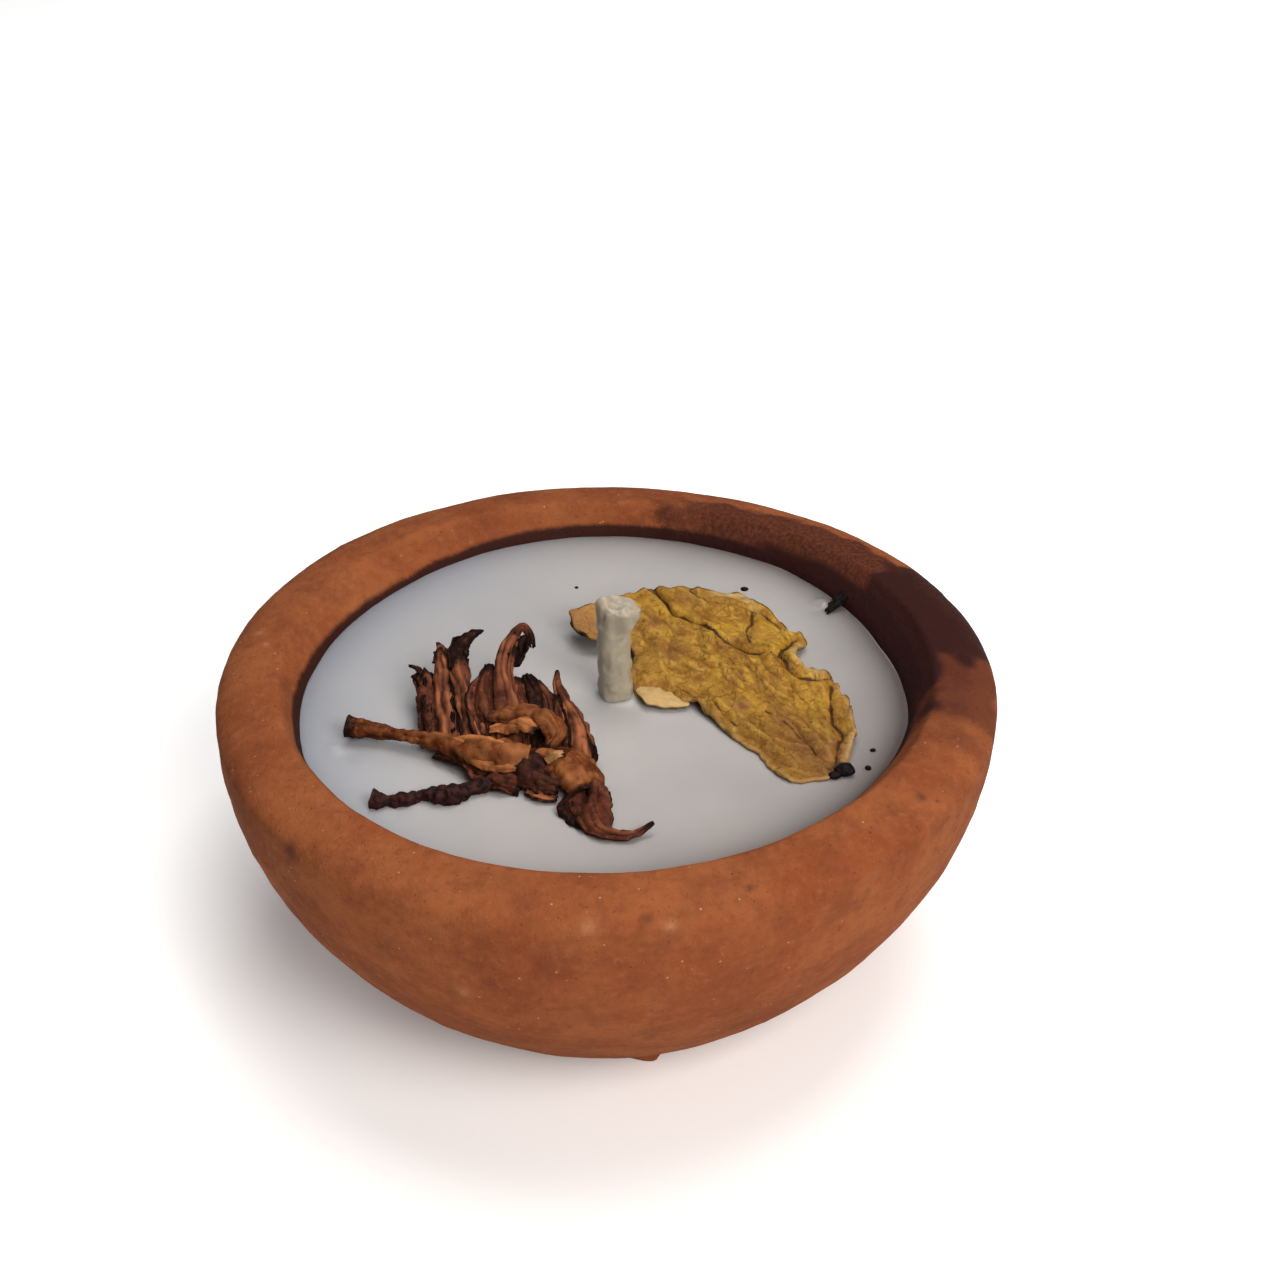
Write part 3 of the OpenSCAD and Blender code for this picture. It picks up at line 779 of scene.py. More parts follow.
# Folds: points of the line, depth, width.
CREASES = [
    ([(4.7, 13.2), (6.6, 9.8), (8.1, 8.7), (9.6, 7.6), (10.6, 5.8), (12.0, 4.4), (13.3, 3.3),
      (14.8, 3.1), (16.0, 2.6)], 0.35, 0.42),
    ([(16.0, 2.7), (16.7, 1.0), (17.7, 0.0), (19.1, -0.2), (20.6, 0.0)], 0.45, 0.6),
    ([(16.0, 2.7), (16.6, 4.5), (17.6, 7.0)], 0.35, 0.5),
    ([(8.2, 12.9), (9.6, 12.3), (12.0, 11.9), (13.6, 11.6), (15.3, 10.9), (16.8, 8.9)], 0.3, 0.38),
    ([(20.3, -1.4), (19.9, -6.4), (20.7, -8.7), (20.1, -10.1), (19.8, -12.0)], 0.25, 0.42),
    ([(13.9, 11.2), (13.8, 9.0), (13.2, 7.2), (13.4, 5.0)], 0.2, 0.4),
    ([(4.2, 13.0), (5.6, 11.6), (6.6, 9.8)], 0.2, 0.35),
    ([(12.4, 2.4), (13.9, -0.6), (15.6, -4.0)], 0.12, 0.25),
    ([(16.2, 0.2), (17.2, -2.6), (18.6, -5.4)], 0.12, 0.25),
    ([(14.2, -5.0), (16.4, -7.6), (18.2, -10.6)], 0.16, 0.35),
    ([(7.0, -1.2), (9.5, -3.4), (11.5, -6.5)], 0.15, 0.3),
]
BRUISES = [((6.4, 3.9), 0.9, 0.5), ((12.1, -4.2), 0.8, 1.0), ((4.8, 7.9), 0.5, 0.8),
           ((11.1, 3.9), 0.4, 0.6), ((15.8, -5.6), 1.6, 0.5), ((17.5, -10), 1.8, 0.5),
           ((14.2, 7.0), 1.6, 0.35)]


def distance_to_line(points, line):
    """Distance from each point to a line of straight pieces."""
    line = np.array(line, float)
    best = np.full(len(points), 1e9)
    for a, b in zip(line[:-1], line[1:]):
        run = b - a
        share = np.clip((points - a) @ run / (run @ run), 0, 1)
        best = np.minimum(best, np.linalg.norm(points - a - share[:, None] * run, axis=1))
    return best


def inside_outline(points, outline):
    """True where a point lies in the closed outline."""
    inside = np.zeros(len(points), bool)
    for (x0, y0), (x1, y1) in zip(outline, np.roll(outline, -1, axis=0)):
        crosses = (y0 > points[:, 1]) != (y1 > points[:, 1])
        with np.errstate(divide="ignore", invalid="ignore"):
            at = x0 + (points[:, 1] - y0) / (y1 - y0) * (x1 - x0)
        inside ^= crosses & (points[:, 0] < at)
    return inside


def petal_rise(x, y):
    """Height of the petal's middle surface above the wax, without its folds."""
    across = x * PETAL_ACROSS[0] + y * PETAL_ACROSS[1]
    along = x * PETAL_ALONG[0] + y * PETAL_ALONG[1]
    rise = 1.75 - (across - 11) ** 2 / 54 - 0.052 * (along - 6)
    tip = smooth(2.5, -3.5, x)
    return max(rise, 0.25) + 0.9 * tip * tip


def petal_sheet():
    """The flat petal: a fine grid whose border is pulled onto the outline."""
    step = 0.13
    outline = catmull(PETAL_OUTLINE + PETAL_OUTLINE[:1], 8)[:-1]
    wave = np.array([0.22 * rough((x, y, 4), 1.1, 2) for x, y in outline])
    run = np.roll(outline, -1, axis=0) - np.roll(outline, 1, axis=0)
    away = np.stack([-run[:, 1], run[:, 0]], 1) / np.linalg.norm(run, axis=1)[:, None]
    outline = outline + wave[:, None] * away
    low, high = outline.min(0) - step, outline.max(0) + step
    xs, ys = np.arange(low[0], high[0], step), np.arange(low[1], high[1], step)
    grid = np.array([(x, y) for y in ys for x in xs])
    inside = inside_outline(grid, outline)
    cells = [face for face in grid_faces(len(ys), len(xs), False) if all(inside[list(face)])]
    used = sorted({i for face in cells for i in face})
    index = {old: new for new, old in enumerate(used)}
    faces = [tuple(index[i] for i in face) for face in cells]
    flat = grid[used]
    uses = Counter(frozenset(edge) for face in faces for edge in zip(face, face[1:] + face[:1]))
    starts, ends = outline, np.roll(outline, -1, axis=0)
    run = ends - starts
    for i in {i for edge, count in uses.items() if count == 1 for i in edge}:
        share = np.clip(((flat[i] - starts) * run).sum(1) / (run * run).sum(1), 0, 1)
        near = starts + share[:, None] * run
        flat[i] = near[np.argmin(np.linalg.norm(near - flat[i], axis=1))]
    return flat, faces, np.vstack([outline, outline[:1]])


def petal_creases(flat, rise):
    """Presses the creases into rise. Returns the painted shade along them."""
    dark = np.zeros(len(flat))
    broken = 1.05 + 0.5 * noise_at(*flat.T * 0.9, 7.2)
    for line, depth, width in CREASES:
        bent = catmull(line, 5)
        bent = bent + 0.16 * np.stack([noise_at(*bent.T * 1.3, z) for z in (3.9, 39)], axis=1)
        far = distance_to_line(flat, bent)
        rise += depth * (0.6 * bell(far - 1.9 * width, 1.1 * width) - bell(far, 0.6 * width))
        line_tone = broken * bell(far, 0.5 * width * broken.clip(0.4, 2))
        dark = np.maximum(dark, 1.4 * line_tone * min(1, depth * 3.2))
    return dark


def petal_wrinkles(flat, rise):
    """Adds short wrinkles that run roughly towards the claw. Returns painted shade for their valleys
    and painted highlight for their ridges.
    """
    valley_shade, ridge = np.zeros(len(flat)), np.zeros(len(flat))
    pick = random.Random(17)
    for k in range(PETAL_WRINKLES):
        start = flat[pick.randrange(len(flat))]
        run = PETAL_FAN - start
        heading = math.atan2(run[1], run[0]) + pick.gauss(0, 0.3)
        ahead = np.array([math.cos(heading), math.sin(heading)])
        aside = np.array([-ahead[1], ahead[0]])
        length, sway = pick.uniform(0.8, 4.5), pick.uniform(-0.15, 0.15)
        line = [start - 0.5 * length * ahead, start + sway * length * aside,
                start + 0.5 * length * (ahead + 0.4 * sway * aside)]
        close = np.flatnonzero(np.linalg.norm(flat - start, axis=1) < length + 1.2)
        far = distance_to_line(flat[close], catmull(line, 4))
        depth = pick.uniform(0.02, 0.15)
        if k % 3:
            rise[close] -= depth * np.exp(-far / 0.2)
            valley_shade[close] = np.maximum(valley_shade[close], 5 * depth * bell(far, 0.13))
        else:
            rise[close] += depth * np.exp(-far / 0.28)
            ridge[close] = np.maximum(ridge[close], 5 * depth * bell(far, 0.16))
    return valley_shade, ridge


def from_point(flat, x, y):
    return np.linalg.norm(flat - np.array([x, y]), axis=1)


def petal_tones(flat, edge, ruffle, front, dark):
    """Where the petal is dark, pale, bruised and brown."""
    x, y = flat.T
    claw = from_point(flat, *PETAL_CLAW)
    rim = np.exp(-edge / 0.15) * (0.6 + 0.9 * ruffle)
    # the painted shade of the creases, with the darker rim and the dark claw
    dark = np.maximum.reduce([dark, rim * (1 - 0.8 * front), 1.1 * bell(claw, 1.4)])
    patchy = 0.8 + 0.6 * noise_at(*flat.T * 1.2, 18)
    back = smooth(9.4, 10.8, x) * smooth(15.2, 13.0, x) * smooth(10.5, 12, y)
    notch = smooth(3.6, 2.2, from_point(flat, 18.9, 3.3)) * smooth(0.85, 0.3, edge)
    side = smooth(18.6, 20, x) * smooth(-13, -11, y) * smooth(0.9, 0.3, edge)
    pale = np.maximum.reduce([back * smooth(1.3, 0.8, edge) * patchy, 0.8 * patchy * notch,
                              0.18 * side])
    pale = np.clip(pale + 0.35 * front * smooth(0.5, 0.15, edge), 0, 1)
    bruises = [amount * bell(from_point(flat, *place), radius)
               for place, radius, amount in BRUISES]
    bruise = np.maximum.reduce([0.5 * bell(claw - 2, 1.6), *bruises])
    brown = np.maximum.reduce([bell(from_point(flat, 3.4, 4.0), 3.2), smooth(-3.0, -9.5, y),
                               0.9 * bell(from_point(flat, 8.6, 12.4), 2.6),
                               0.7 * front * smooth(4.0, 0.8, edge)])
    return {"dark": dark, "pale": pale, "bruise": bruise, "brown": brown,
            "tan": smooth(3.5, -0.5, x)}


def yellow_petal_piece():
    flat, faces, outline = petal_sheet()
    x, y = flat.T
    edge = distance_to_line(flat, outline)
    rise = np.array([petal_rise(*place) for place in flat])
    dark = petal_creases(flat, rise)
    fan = flat - PETAL_FAN
    turn, reach = np.arctan2(fan[:, 1], fan[:, 0]), np.hypot(fan[:, 0], fan[:, 1])
    veins = noise_at(turn * 38, reach * 0.14, 2) + 0.6 * noise_at(turn * 90, reach * 0.2, 7)
    veins *= 0.4 + 0.6 * smooth(8, -6, y)
    swell = np.array([rough((*place, 6), 3.6, 3) for place in flat])
    rise += 0.14 * veins + 0.4 * swell
    valley_shade, ridge = petal_wrinkles(flat, rise)
    ruffle = noise_at(*flat.T * 0.75, 12)
    front = smooth(4, -3, x * 0.25 + y * 0.97)
    rolled = smooth(9, 13, y) + 0.5 * smooth(15, 18, x) * smooth(-13, -2, y)
    calm = (1 - 0.6 * smooth(9, 12, y)) * (1 - smooth(3.5, 1, x))
    rise += np.exp(-edge / 0.9) * (0.8 * ruffle * calm + 0.2 * np.minimum(1, rolled) - 0.3 * front)
    rise = np.maximum(rise, 0.16)
    tones = petal_tones(flat, edge, ruffle, front, dark)
    # painted shade in the wrinkle valleys and painted highlight on their ridges
    tones.update({"valley_shade": valley_shade, "ridge": ridge, "vein": 0.5 + 0.5 * veins})
    piece = make_piece("yellow_petal_dried", np.column_stack([flat, WAX_Z + rise]), faces, yellow,
                       tones)
    fit(piece, "yellow_petal", PETAL_T)


def petal_folds():
    """Turned-under parts: the cream back below the front edge, and the rolled left tip."""
    points, faces, tones = joined([
        strip([(3.0, -0.8, 0.9), (4.3, -1.7, 0.95), (5.7, -2.3, 0.8), (7.5, -2.9, 0.5)],
              [0.35, 1.25, 1.1, 0.12], curl=-0.5, folds=1, crumple=0.02, ragged=0.0, seed=61,
              cream=1.0, relief=0.12),
        strip([(-2.7, 9.4, 2.2), (-2.6, 8.5, 1.8), (-2.1, 7.8, 1.5), (-1.2, 7.2, 1.3)],
              [0.2, 0.38, 0.4, 0.2], curl=0.9, folds=1, crumple=0.08, ragged=0.4, seed=62,
              shade=0.35)])
    cream = np.array(tones["cream"])
    looks = {"pale": cream, "tan": 1 - cream, "dark": tones["shade"] * (0.95 - 0.6 * cream),
             "valley_shade": tones["valley_shade"] * (0.9 - 0.9 * cream)}
    piece = make_piece("yellow_petal_folds", points, faces, yellow, looks)
    fit(piece, None, PETAL_T)


# ---- Strips and stems of the dried flower ----

def laid_path(line, sizes, rows):
    """Points along a line over the wax, and at each point the size and the ways aside and up."""
    path = resample(catmull(line, 8), rows)
    path[:, 2] += WAX_Z
    size = np.interp(np.linspace(0, len(sizes) - 1, rows), range(len(sizes)), sizes)
    ahead = np.gradient(path, axis=0)
    ahead /= np.linalg.norm(ahead, axis=1)[:, None]
    side = np.cross(np.array(UP), ahead)
    for i in range(1, len(side)):
        if np.linalg.norm(side[i]) < 1e-3:
            side[i] = side[i - 1]
    side /= np.linalg.norm(side, axis=1)[:, None]
    for i in range(1, len(side)):
        if side[i] @ side[i - 1] < 0:
            side[i:] = -side[i:]
    return path, size, side, np.cross(ahead, side)


def strip(line, widths, seed, curl=-1.2, twist=(0, 0), folds=2, crumple=0.13, ragged=0.3,
          shade=0.0, warm=0.3, mauve=0.0, cream=0.0, relief=1.0):
    """A shrivelled strip. widths are the half widths at the line's points, and twist is in
    degrees at the two ends. A positive curl lifts the edges and a negative one turns them down.
    Returns points, faces and tones."""
    rows, columns = 24 + 7 * len(line), 25
    path, width, side, up = laid_path(line, widths, rows)
    pick = random.Random(seed)
    folding = [((k + 0.5 + pick.uniform(-0.3, 0.3)) * 1.6 / folds - 0.8, pick.uniform(0.7, 1.1),
                pick.uniform(0, 40)) for k in range(folds)]
    points, valley_shade, dark, warmth = [], [], [], []
    for i in range(rows):
        u = i / (rows - 1)
        lean = math.radians(twist[0] + (twist[1] - twist[0]) * u)
        right = math.cos(lean) * side[i] + math.sin(lean) * up[i]
        lift = math.cos(lean) * up[i] - math.sin(lean) * side[i]
        run = path[min(i + 1, rows - 1)] - path[max(i - 1, 0)]
        run = run / np.linalg.norm(run)
        bend = curl * (0.85 + 0.5 * noise_of(u * 3, seed, 0))
        half = width[i] * (1 + 0.2 * noise_of(u * 5, seed, 5))
        for j in range(columns):
            v = 2 * j / (columns - 1) - 1
            edge = np.sign(v)
            hem = float(smooth(0.5, 1.0, abs(v)))
            wave = noise_of(u * 6, 3 * edge, seed) + 0.5 * noise_of(u * 17, 3 * edge, seed)
            wave *= relief
            cut = ragged * max(0.0, u - 0.7) * 4 * noise_of(v * 2.2, seed, 9)
            x = half * (math.sin(bend * v) / math.sin(bend) + 0.3 * hem * wave * edge)
            z = half * (1 - math.cos(bend * v)) / math.sin(bend) + 0.5 * half * hem * wave
            crease, hill = 0.0, 0.0
            for middle, depth, phase in folding:
                away = v - middle - 0.7 * noise_of(u * 2.6, phase, seed)
                here = depth * (0.65 + 0.9 * noise_of(u * 4, phase, seed + 3))
                crease = max(crease, here * math.exp(-abs(away) / 0.17))
                hill = max(hill, here * bell(away - 0.38, 0.2))
            dent = noise_of(u * len(line) * 2.2, 1.3 * v, seed + 7)
            vein = noise_of(u * 2.5, 6.5 * v, seed + 11)
            at = path[i] + right * x
            bump = rough(at, 1.9, 3, seed)
            folded = 0.24 * hill - 0.42 * crease + 0.16 * dent + 0.14 * vein
            at = at + lift * (z + crumple * bump + relief * half * folded) + run * cut
            points.append(at + right * (0.5 * crumple * rough(at, 1.2, 2, seed + 4)))
            # painted shade in the folds, in the low crumples and along the vein hollows
            valley_shade.append(min(1.0, 1.1 * max(0.0, crease - 0.25)
                              + 0.5 * float(smooth(0.0, -0.5, bump + 0.6 * dent))
                              + 0.7 * relief * float(smooth(-0.05, -0.4, vein))))
            margin = relief * float(smooth(0.8, 1.05, abs(v))) * (0.75 + 0.6 * wave)
            end = float(smooth(0.84, 1.0, u)) * 0.8
            dark.append(min(1.0, max(0.0, margin + end) + shade))
            # the hill term is painted light on the fold ridges
            warmth.append(warm + 0.35 * bump + 0.65 * hill - 0.25)
    points = np.array(points)
    points[:, 2] = np.maximum(points[:, 2], WAX_Z + 0.05 + 0.05 * np.array(valley_shade))
    tones = {"valley_shade": valley_shade, "shade": dark, "warm": warmth, "mauve": mauve, "cream": cream}
    return points, grid_faces(rows, columns, False), tones


def stem(line, radii, seed, lumps, lump_size=1.0, hollow=0.0, warm=0.5):
    """A lumpy stem, closed at both ends. hollow is how deep its far end is open."""
    rows, columns = 14 * len(line), 28
    path, radius, side, up = laid_path(line, radii, rows)
    rings = [(path[i], radius[i], side[i], up[i], i / (rows - 1), False) for i in range(rows)]
    if hollow:
        back = path[-1] - path[-2]
        back /= np.linalg.norm(back)
        for share in (0.0, 0.35, 1.0):
            rings.append((path[-1] - back * hollow * share,
                          radius[-1] * (0.82 - 0.25 * share), side[-1], up[-1], 1, True))
    points, valley_shade, dark, warmth = [], [], [], []
    for centre, size, right, lift, u, hole in rings:
        for angle in whole_turn(columns):
            turn = math.cos(angle) * right + math.sin(angle) * lift
            at = centre + size * turn
            ridge = math.sin(4 * angle + 4 * noise_of(u * 4, seed, 0))
            bump = rough(at, lump_size, 3, seed)
            points.append(at + turn * (0.06 * size * ridge + lumps * bump))
            # painted shade in the grooves and low lumps
            valley_shade.append(min(1.0, 0.45 * float(smooth(0.0, -1.0, ridge))
                              + 0.6 * float(smooth(0.0, -0.6, bump))))
            # the inside of the open end is nearly black: painted shade in the hollow
            dark.append(0.95 if hole else 0.36 * float(smooth(0.5, 0.8, u) + smooth(0.9, 1.0, u)))
            warmth.append(warm + 0.3 * bump + 0.6 * (0.4 - u))
    ends = [np.mean(points[:columns], axis=0), np.mean(points[-columns:], axis=0)]
    points = np.array(points + ends)
    points[:, 2] = np.maximum(points[:, 2], WAX_Z - 0.25)
    tones = {"valley_shade": valley_shade + [0, 0], "shade": dark + [0, 0.9 if hollow else 0.3],
             "warm": warmth + [warm, warm]}
    return points, tube_faces(len(rings), columns), tones


def lump(centre, sizes, seed, crumple, detail=5, warm=0.3, mauve=0.0):
    """A crumpled knob."""
    mesh = bpy.data.meshes.new("ball")
    ball = bmesh.new()
    bmesh.ops.create_icosphere(ball, subdivisions=detail, radius=1)
    ball.to_mesh(mesh)
    ball.free()
    points, valley_shade = [], []
    for vertex in mesh.vertices:
        turn = Vector(vertex.co)
        bump = rough(turn * max(sizes), 1.2, 4, seed)
        ridge = 0.4 - abs(rough(turn * max(sizes), 1.6, 2, seed + 6))
        at = turn * Vector(sizes) * (1 + crumple * bump / max(sizes) + 0.5 * crumple * ridge)
        points.append(np.array(at) + np.array(centre) + np.array([0, 0, WAX_Z]))
        # painted shade in the crumple hollows
        valley_shade.append(float(smooth(0.2, -0.1, ridge)))
    faces = [tuple(p.vertices) for p in mesh.polygons]
    bpy.data.meshes.remove(mesh)
    points = np.array(points)
    points[:, 2] = np.maximum(points[:, 2], WAX_Z - 0.2)
    return points, faces, {"valley_shade": valley_shade, "warm": warm, "mauve": mauve}


def joined(parts):
    """Joins (points, faces, tones) parts into one. A tone may be one number for a whole part."""
    points, faces = [], []
    tones = {tone: [] for tone in ("valley_shade", "shade", "warm", "mauve", "cream")}
    for part_points, part_faces, part_tones in parts:
        faces += [tuple(i + len(points) for i in face) for face in part_faces]
        points += list(part_points)
        for tone, values in tones.items():
            values.extend(np.broadcast_to(part_tones.get(tone, 0.0), len(part_points)))
    return points, faces, tones


def flower_piece(name, node, kind, parts, thickness=0.24):
    """Joins shapes into one piece. Strips get a thickness; stems and knobs are solid already."""
    slot, material = kind
    points, faces, tones = joined(parts)
    piece = make_piece(name, points, faces, material, tones)
    fit(piece, node, thickness)


BROWN = ("brown_flower", brown)
TAN = ("tan_flower", tan)
STALK = ("dark_stem", stalk_skin)
CHAR = ("char", soot_black)


# Strips with a high shade that lie under and between the petals are nearly black sheets: painted
# shade in the gaps between the petals.
def dried_flower():
    flower_piece("flower_centre", "flower_hub", BROWN, [
        lump((-6.6, -13.0, 1.2), (2.3, 1.9, 1.5), seed=2, crumple=0.35, mauve=1.0),
        lump((-8.6, -13.9, 0.9), (1.7, 1.2, 1.0), seed=3, crumple=0.3, warm=0.1, mauve=0.25),
        lump((-4.6, -13.9, 1.0), (1.3, 1.1, 1.1), seed=5, crumple=0.3, mauve=0.5)], 0)
    flower_piece("flower_tube_skin", "flower_tube", TAN, [
        stem([(-6.6, -12.7, 1.5), (-8.6, -12.4, 1.7), (-11.0, -11.4, 1.7), (-13.0, -10.2, 1.5),
            (-15.2, -9.0, 1.4), (-17.6, -8.0, 1.3), (-20.0, -7.2, 1.25), (-21.8, -6.7, 1.25),
            (-22.6, -6.5, 1.3)], [1.5, 1.6, 1.35, 1.05, 0.8, 0.62, 0.56, 0.7, 0.95], lumps=0.22,
            seed=1, hollow=0.9, warm=0.45)], 0)
    flower_piece("flower_tube_folds", None, TAN, [
        strip([(-7.0, -12.2, 2.9), (-9.0, -11.7, 3.0), (-11.6, -10.8, 2.7), (-13.6, -9.8, 2.1)],
            [0.6, 0.9, 0.7, 0.2], seed=6, warm=0.9),
        strip([(-6.8, -13.6, 2.2), (-8.8, -13.6, 2.2), (-10.8, -12.8, 2.0), (-12.4, -11.6, 1.7)],
            [0.6, 0.8, 0.6, 0.15], seed=7, warm=0.9)])
    flower_piece("flower_stalk_skin", "flower_stalk", STALK, [
        stem([(-8.8, -14.2, 0.8), (-10.3, -14.5, 0.7), (-11.6, -15.1, 0.6), (-13.3, -15.9, 0.55),
            (-15.2, -15.7, 0.55), (-16.6, -16.0, 0.4), (-17.8, -16.4, 0.45), (-18.9, -16.4, 0.5),
            (-19.8, -16.2, 0.6)], [0.7, 0.62, 0.7, 0.82, 0.85, 0.45, 0.62, 0.5, 0.9], lumps=0.3,
            lump_size=0.9, seed=4)], 0)
    flower_piece("leaf_left", "bract_left", BROWN, [
        strip([(-12.2, -11.9, 1.2), (-10.6, -13.1, 1.4), (-8.6, -14.4, 1.1), (-7.2, -15.0, 0.5)],
            [0.4, 1.2, 1.3, 0.7], curl=-1.0, seed=11, warm=0.2, shade=0.12),
        strip([(-14.8, -10.2, 0.5), (-13.4, -11.0, 0.7), (-12.0, -12.0, 0.8), (-10.6, -13.3, 0.6)],
            [0.3, 0.5, 0.6, 0.4], curl=1.2, seed=12, shade=0.5)])
    flower_piece("leaf_front", "bract_front", BROWN, [
        strip([(-7.4, -14.2, 1.5), (-5.6, -14.8, 1.7), (-3.8, -15.4, 1.0)], [0.8, 1.5, 0.8],
            curl=-1.1, twist=(20, 35), seed=13, mauve=0.75),
        strip([(-6.8, -15.6, 0.6), (-5.2, -16.2, 0.3), (-4.2, -16.2, 0.3)], [0.3, 0.5, 0.3], curl=0.9,
            seed=14, warm=1.0)])
    flower_piece("limb_back", "limb_upper", TAN, [
        strip([(-7.0, -12.8, 2.2), (-5.0, -12.7, 2.6), (-3.2, -13.2, 2.5), (-2.1, -14.6, 2.0),
            (-1.4, -16.4, 1.5)], [1.1, 1.8, 2.1, 1.9, 1.5], curl=-1.1, crumple=0.17, seed=21,
            warm=0.5, relief=0.45),
        strip([(-5.1, -13.9, 2.6), (-4.3, -13.6, 3.1), (-3.5, -13.5, 3.1)], [0.35, 0.5, 0.3],
            curl=-0.9, folds=1, crumple=0.05, seed=22, warm=0.9, cream=1.0, relief=0.3),
        strip([(-3.0, -12.6, 2.6), (-1.9, -13.8, 2.2), (-1.2, -15.4, 1.7), (-1.0, -16.6, 1.4)],
            [0.3, 0.8, 0.8, 0.5], seed=63, warm=0.4, crumple=0.12, shade=0.1, relief=0.5)])
    flower_piece("limb_front", "limb_tail", BROWN, [
        strip([(-1.1, -15.6, 1.6), (-1.3, -17.2, 1.6), (-1.1, -19.0, 1.3), (-0.3, -20.8, 0.9),
            (1.2, -21.5, 0.6), (2.6, -21.3, 0.5), (3.8, -20.7, 0.9)],
            [1.5, 1.8, 1.6, 1.15, 0.6, 0.32, 0.1], curl=-1.3, crumple=0.3, folds=4, seed=23,
            warm=0.12, shade=0.08),
        strip([(-2.3, -15.8, 1.1), (-3.1, -17.4, 0.9), (-2.5, -19.0, 0.6), (-1.3, -20.3, 0.5)],
            [0.5, 0.95, 0.9, 0.4], curl=-1.3, seed=24, shade=0.65)])
    flower_piece("petal_ragged_dried", "petal_ragged", BROWN, [
        strip([(-14.8, -9.4, 1.3), (-15.3, -5.8, 2.1), (-15.7, -3.2, 2.7), (-16.1, -0.9, 3.1)],
            [1.0, 1.0, 1.0, 0.9], ragged=1.6, crumple=0.3, seed=31, warm=0.15, relief=0.8),
        strip([(-15.6, -3.6, 2.4), (-16.3, -2.2, 2.8), (-17.0, -1.4, 2.9)], [0.35, 0.4, 0.08],
            curl=0.9, ragged=0.6, seed=32, shade=0.4),
        strip([(-15.8, -1.6, 2.9), (-16.6, -0.6, 3.1), (-17.4, -0.1, 3.2)], [0.35, 0.25, 0.05],
            curl=0.9, ragged=0.3, seed=34, shade=0.6)])
    flower_piece("petal_broad_dried", "petal_broad", BROWN, [
        strip([(-13.2, -10.0, 1.7), (-13.6, -6.4, 2.6), (-14.1, -2.8, 3.5), (-14.4, -0.4, 4.0),
            (-14.4, 0.9, 4.3)], [0.9, 1.1, 1.1, 0.9, 0.5], ragged=1.2, crumple=0.3, seed=33, warm=0.6,
            relief=0.75),
        strip([(-15.0, -8.8, 1.5), (-15.2, -5.0, 2.2), (-15.4, -1.8, 3.0)], [0.6, 0.8, 0.5], curl=1.0,
            seed=47, shade=0.45),
        strip([(-14.6, -0.4, 3.9), (-14.5, 0.9, 4.3), (-14.9, 1.7, 4.5)], [0.7, 0.6, 0.08], curl=-1.0,
            seed=48, shade=0.2)])
    flower_piece("petal_blade_dried", "petal_blade", BROWN, [
        strip([(-10.9, -10.6, 2.0), (-11.8, -7.0, 2.9), (-12.6, -3.4, 3.8), (-13.0, -0.6, 4.5)],
            [1.1, 0.85, 0.8, 0.9], seed=35, warm=0.7, relief=0.75),
        strip([(-13.3, -1.8, 4.1), (-13.0, 0.4, 4.7), (-12.2, 1.8, 5.0), (-11.0, 2.5, 5.2)],
            [0.5, 0.85, 0.7, 0.1], curl=-0.8, twist=(10, 40), seed=36, shade=0.7),
        strip([(-12.4, -9.6, 1.6), (-12.9, -6.0, 2.5), (-13.3, -2.6, 3.4)], [0.7, 0.6, 0.4], curl=1.0,
            seed=49, shade=0.8)])
    flower_piece("petal_inner_dried", "petal_inner", BROWN, [
        strip([(-8.6, -11.4, 2.0), (-9.6, -7.4, 2.9), (-10.5, -4.6, 3.6), (-10.1, -1.8, 4.4)],
            [1.5, 1.6, 1.4, 0.5], folds=4, crumple=0.35, seed=37, warm=0.2, shade=0.12),
        strip([(-10.2, -11.0, 2.0), (-11.2, -7.8, 2.7), (-11.5, -4.8, 3.3), (-10.4, -2.2, 4.0)],
            [0.7, 0.7, 0.6, 0.3], curl=1.0, seed=38, shade=0.35)])
    flower_piece("petal_hook_dried", "petal_hook", BROWN, [
        strip([(-8.0, -11.2, 2.4), (-8.4, -6.9, 4.0), (-8.9, -3.4, 4.9), (-8.6, -0.8, 5.6),
            (-7.9, 1.1, 6.1), (-7.1, 1.7, 6.1), (-6.6, 1.2, 5.5), (-6.4, 0.6, 4.9)],
            [1.3, 1.15, 1.0, 0.95, 0.85, 0.6, 0.4, 0.2], seed=39, warm=0.5, ragged=0.8, relief=0.75),
        strip([(-8.0, -2.6, 4.7), (-7.6, -0.6, 5.2), (-7.2, 0.7, 5.7)], [0.6, 0.9, 0.75], curl=1.0,
            seed=40, shade=0.9),
        strip([(-7.0, -11.4, 2.2), (-7.2, -7.4, 3.4), (-7.7, -4.0, 4.4)], [0.6, 0.6, 0.4], seed=50,
            shade=0.1)])
    flower_piece("petal_dark_dried", "petal_dark", BROWN, [
        strip([(-5.8, -11.6, 2.1), (-5.8, -8.0, 3.0), (-5.9, -5.6, 3.7), (-6.9, -3.4, 4.3)],
            [1.6, 1.7, 1.5, 0.7], curl=-1.0, folds=3, seed=41, shade=0.62, mauve=0.6),
        strip([(-4.9, -11.6, 2.1), (-4.6, -8.4, 3.0), (-4.9, -5.9, 3.6), (-5.9, -4.0, 4.0)],
            [0.5, 0.6, 0.6, 0.2], curl=-1.3, seed=42, mauve=0.4)])
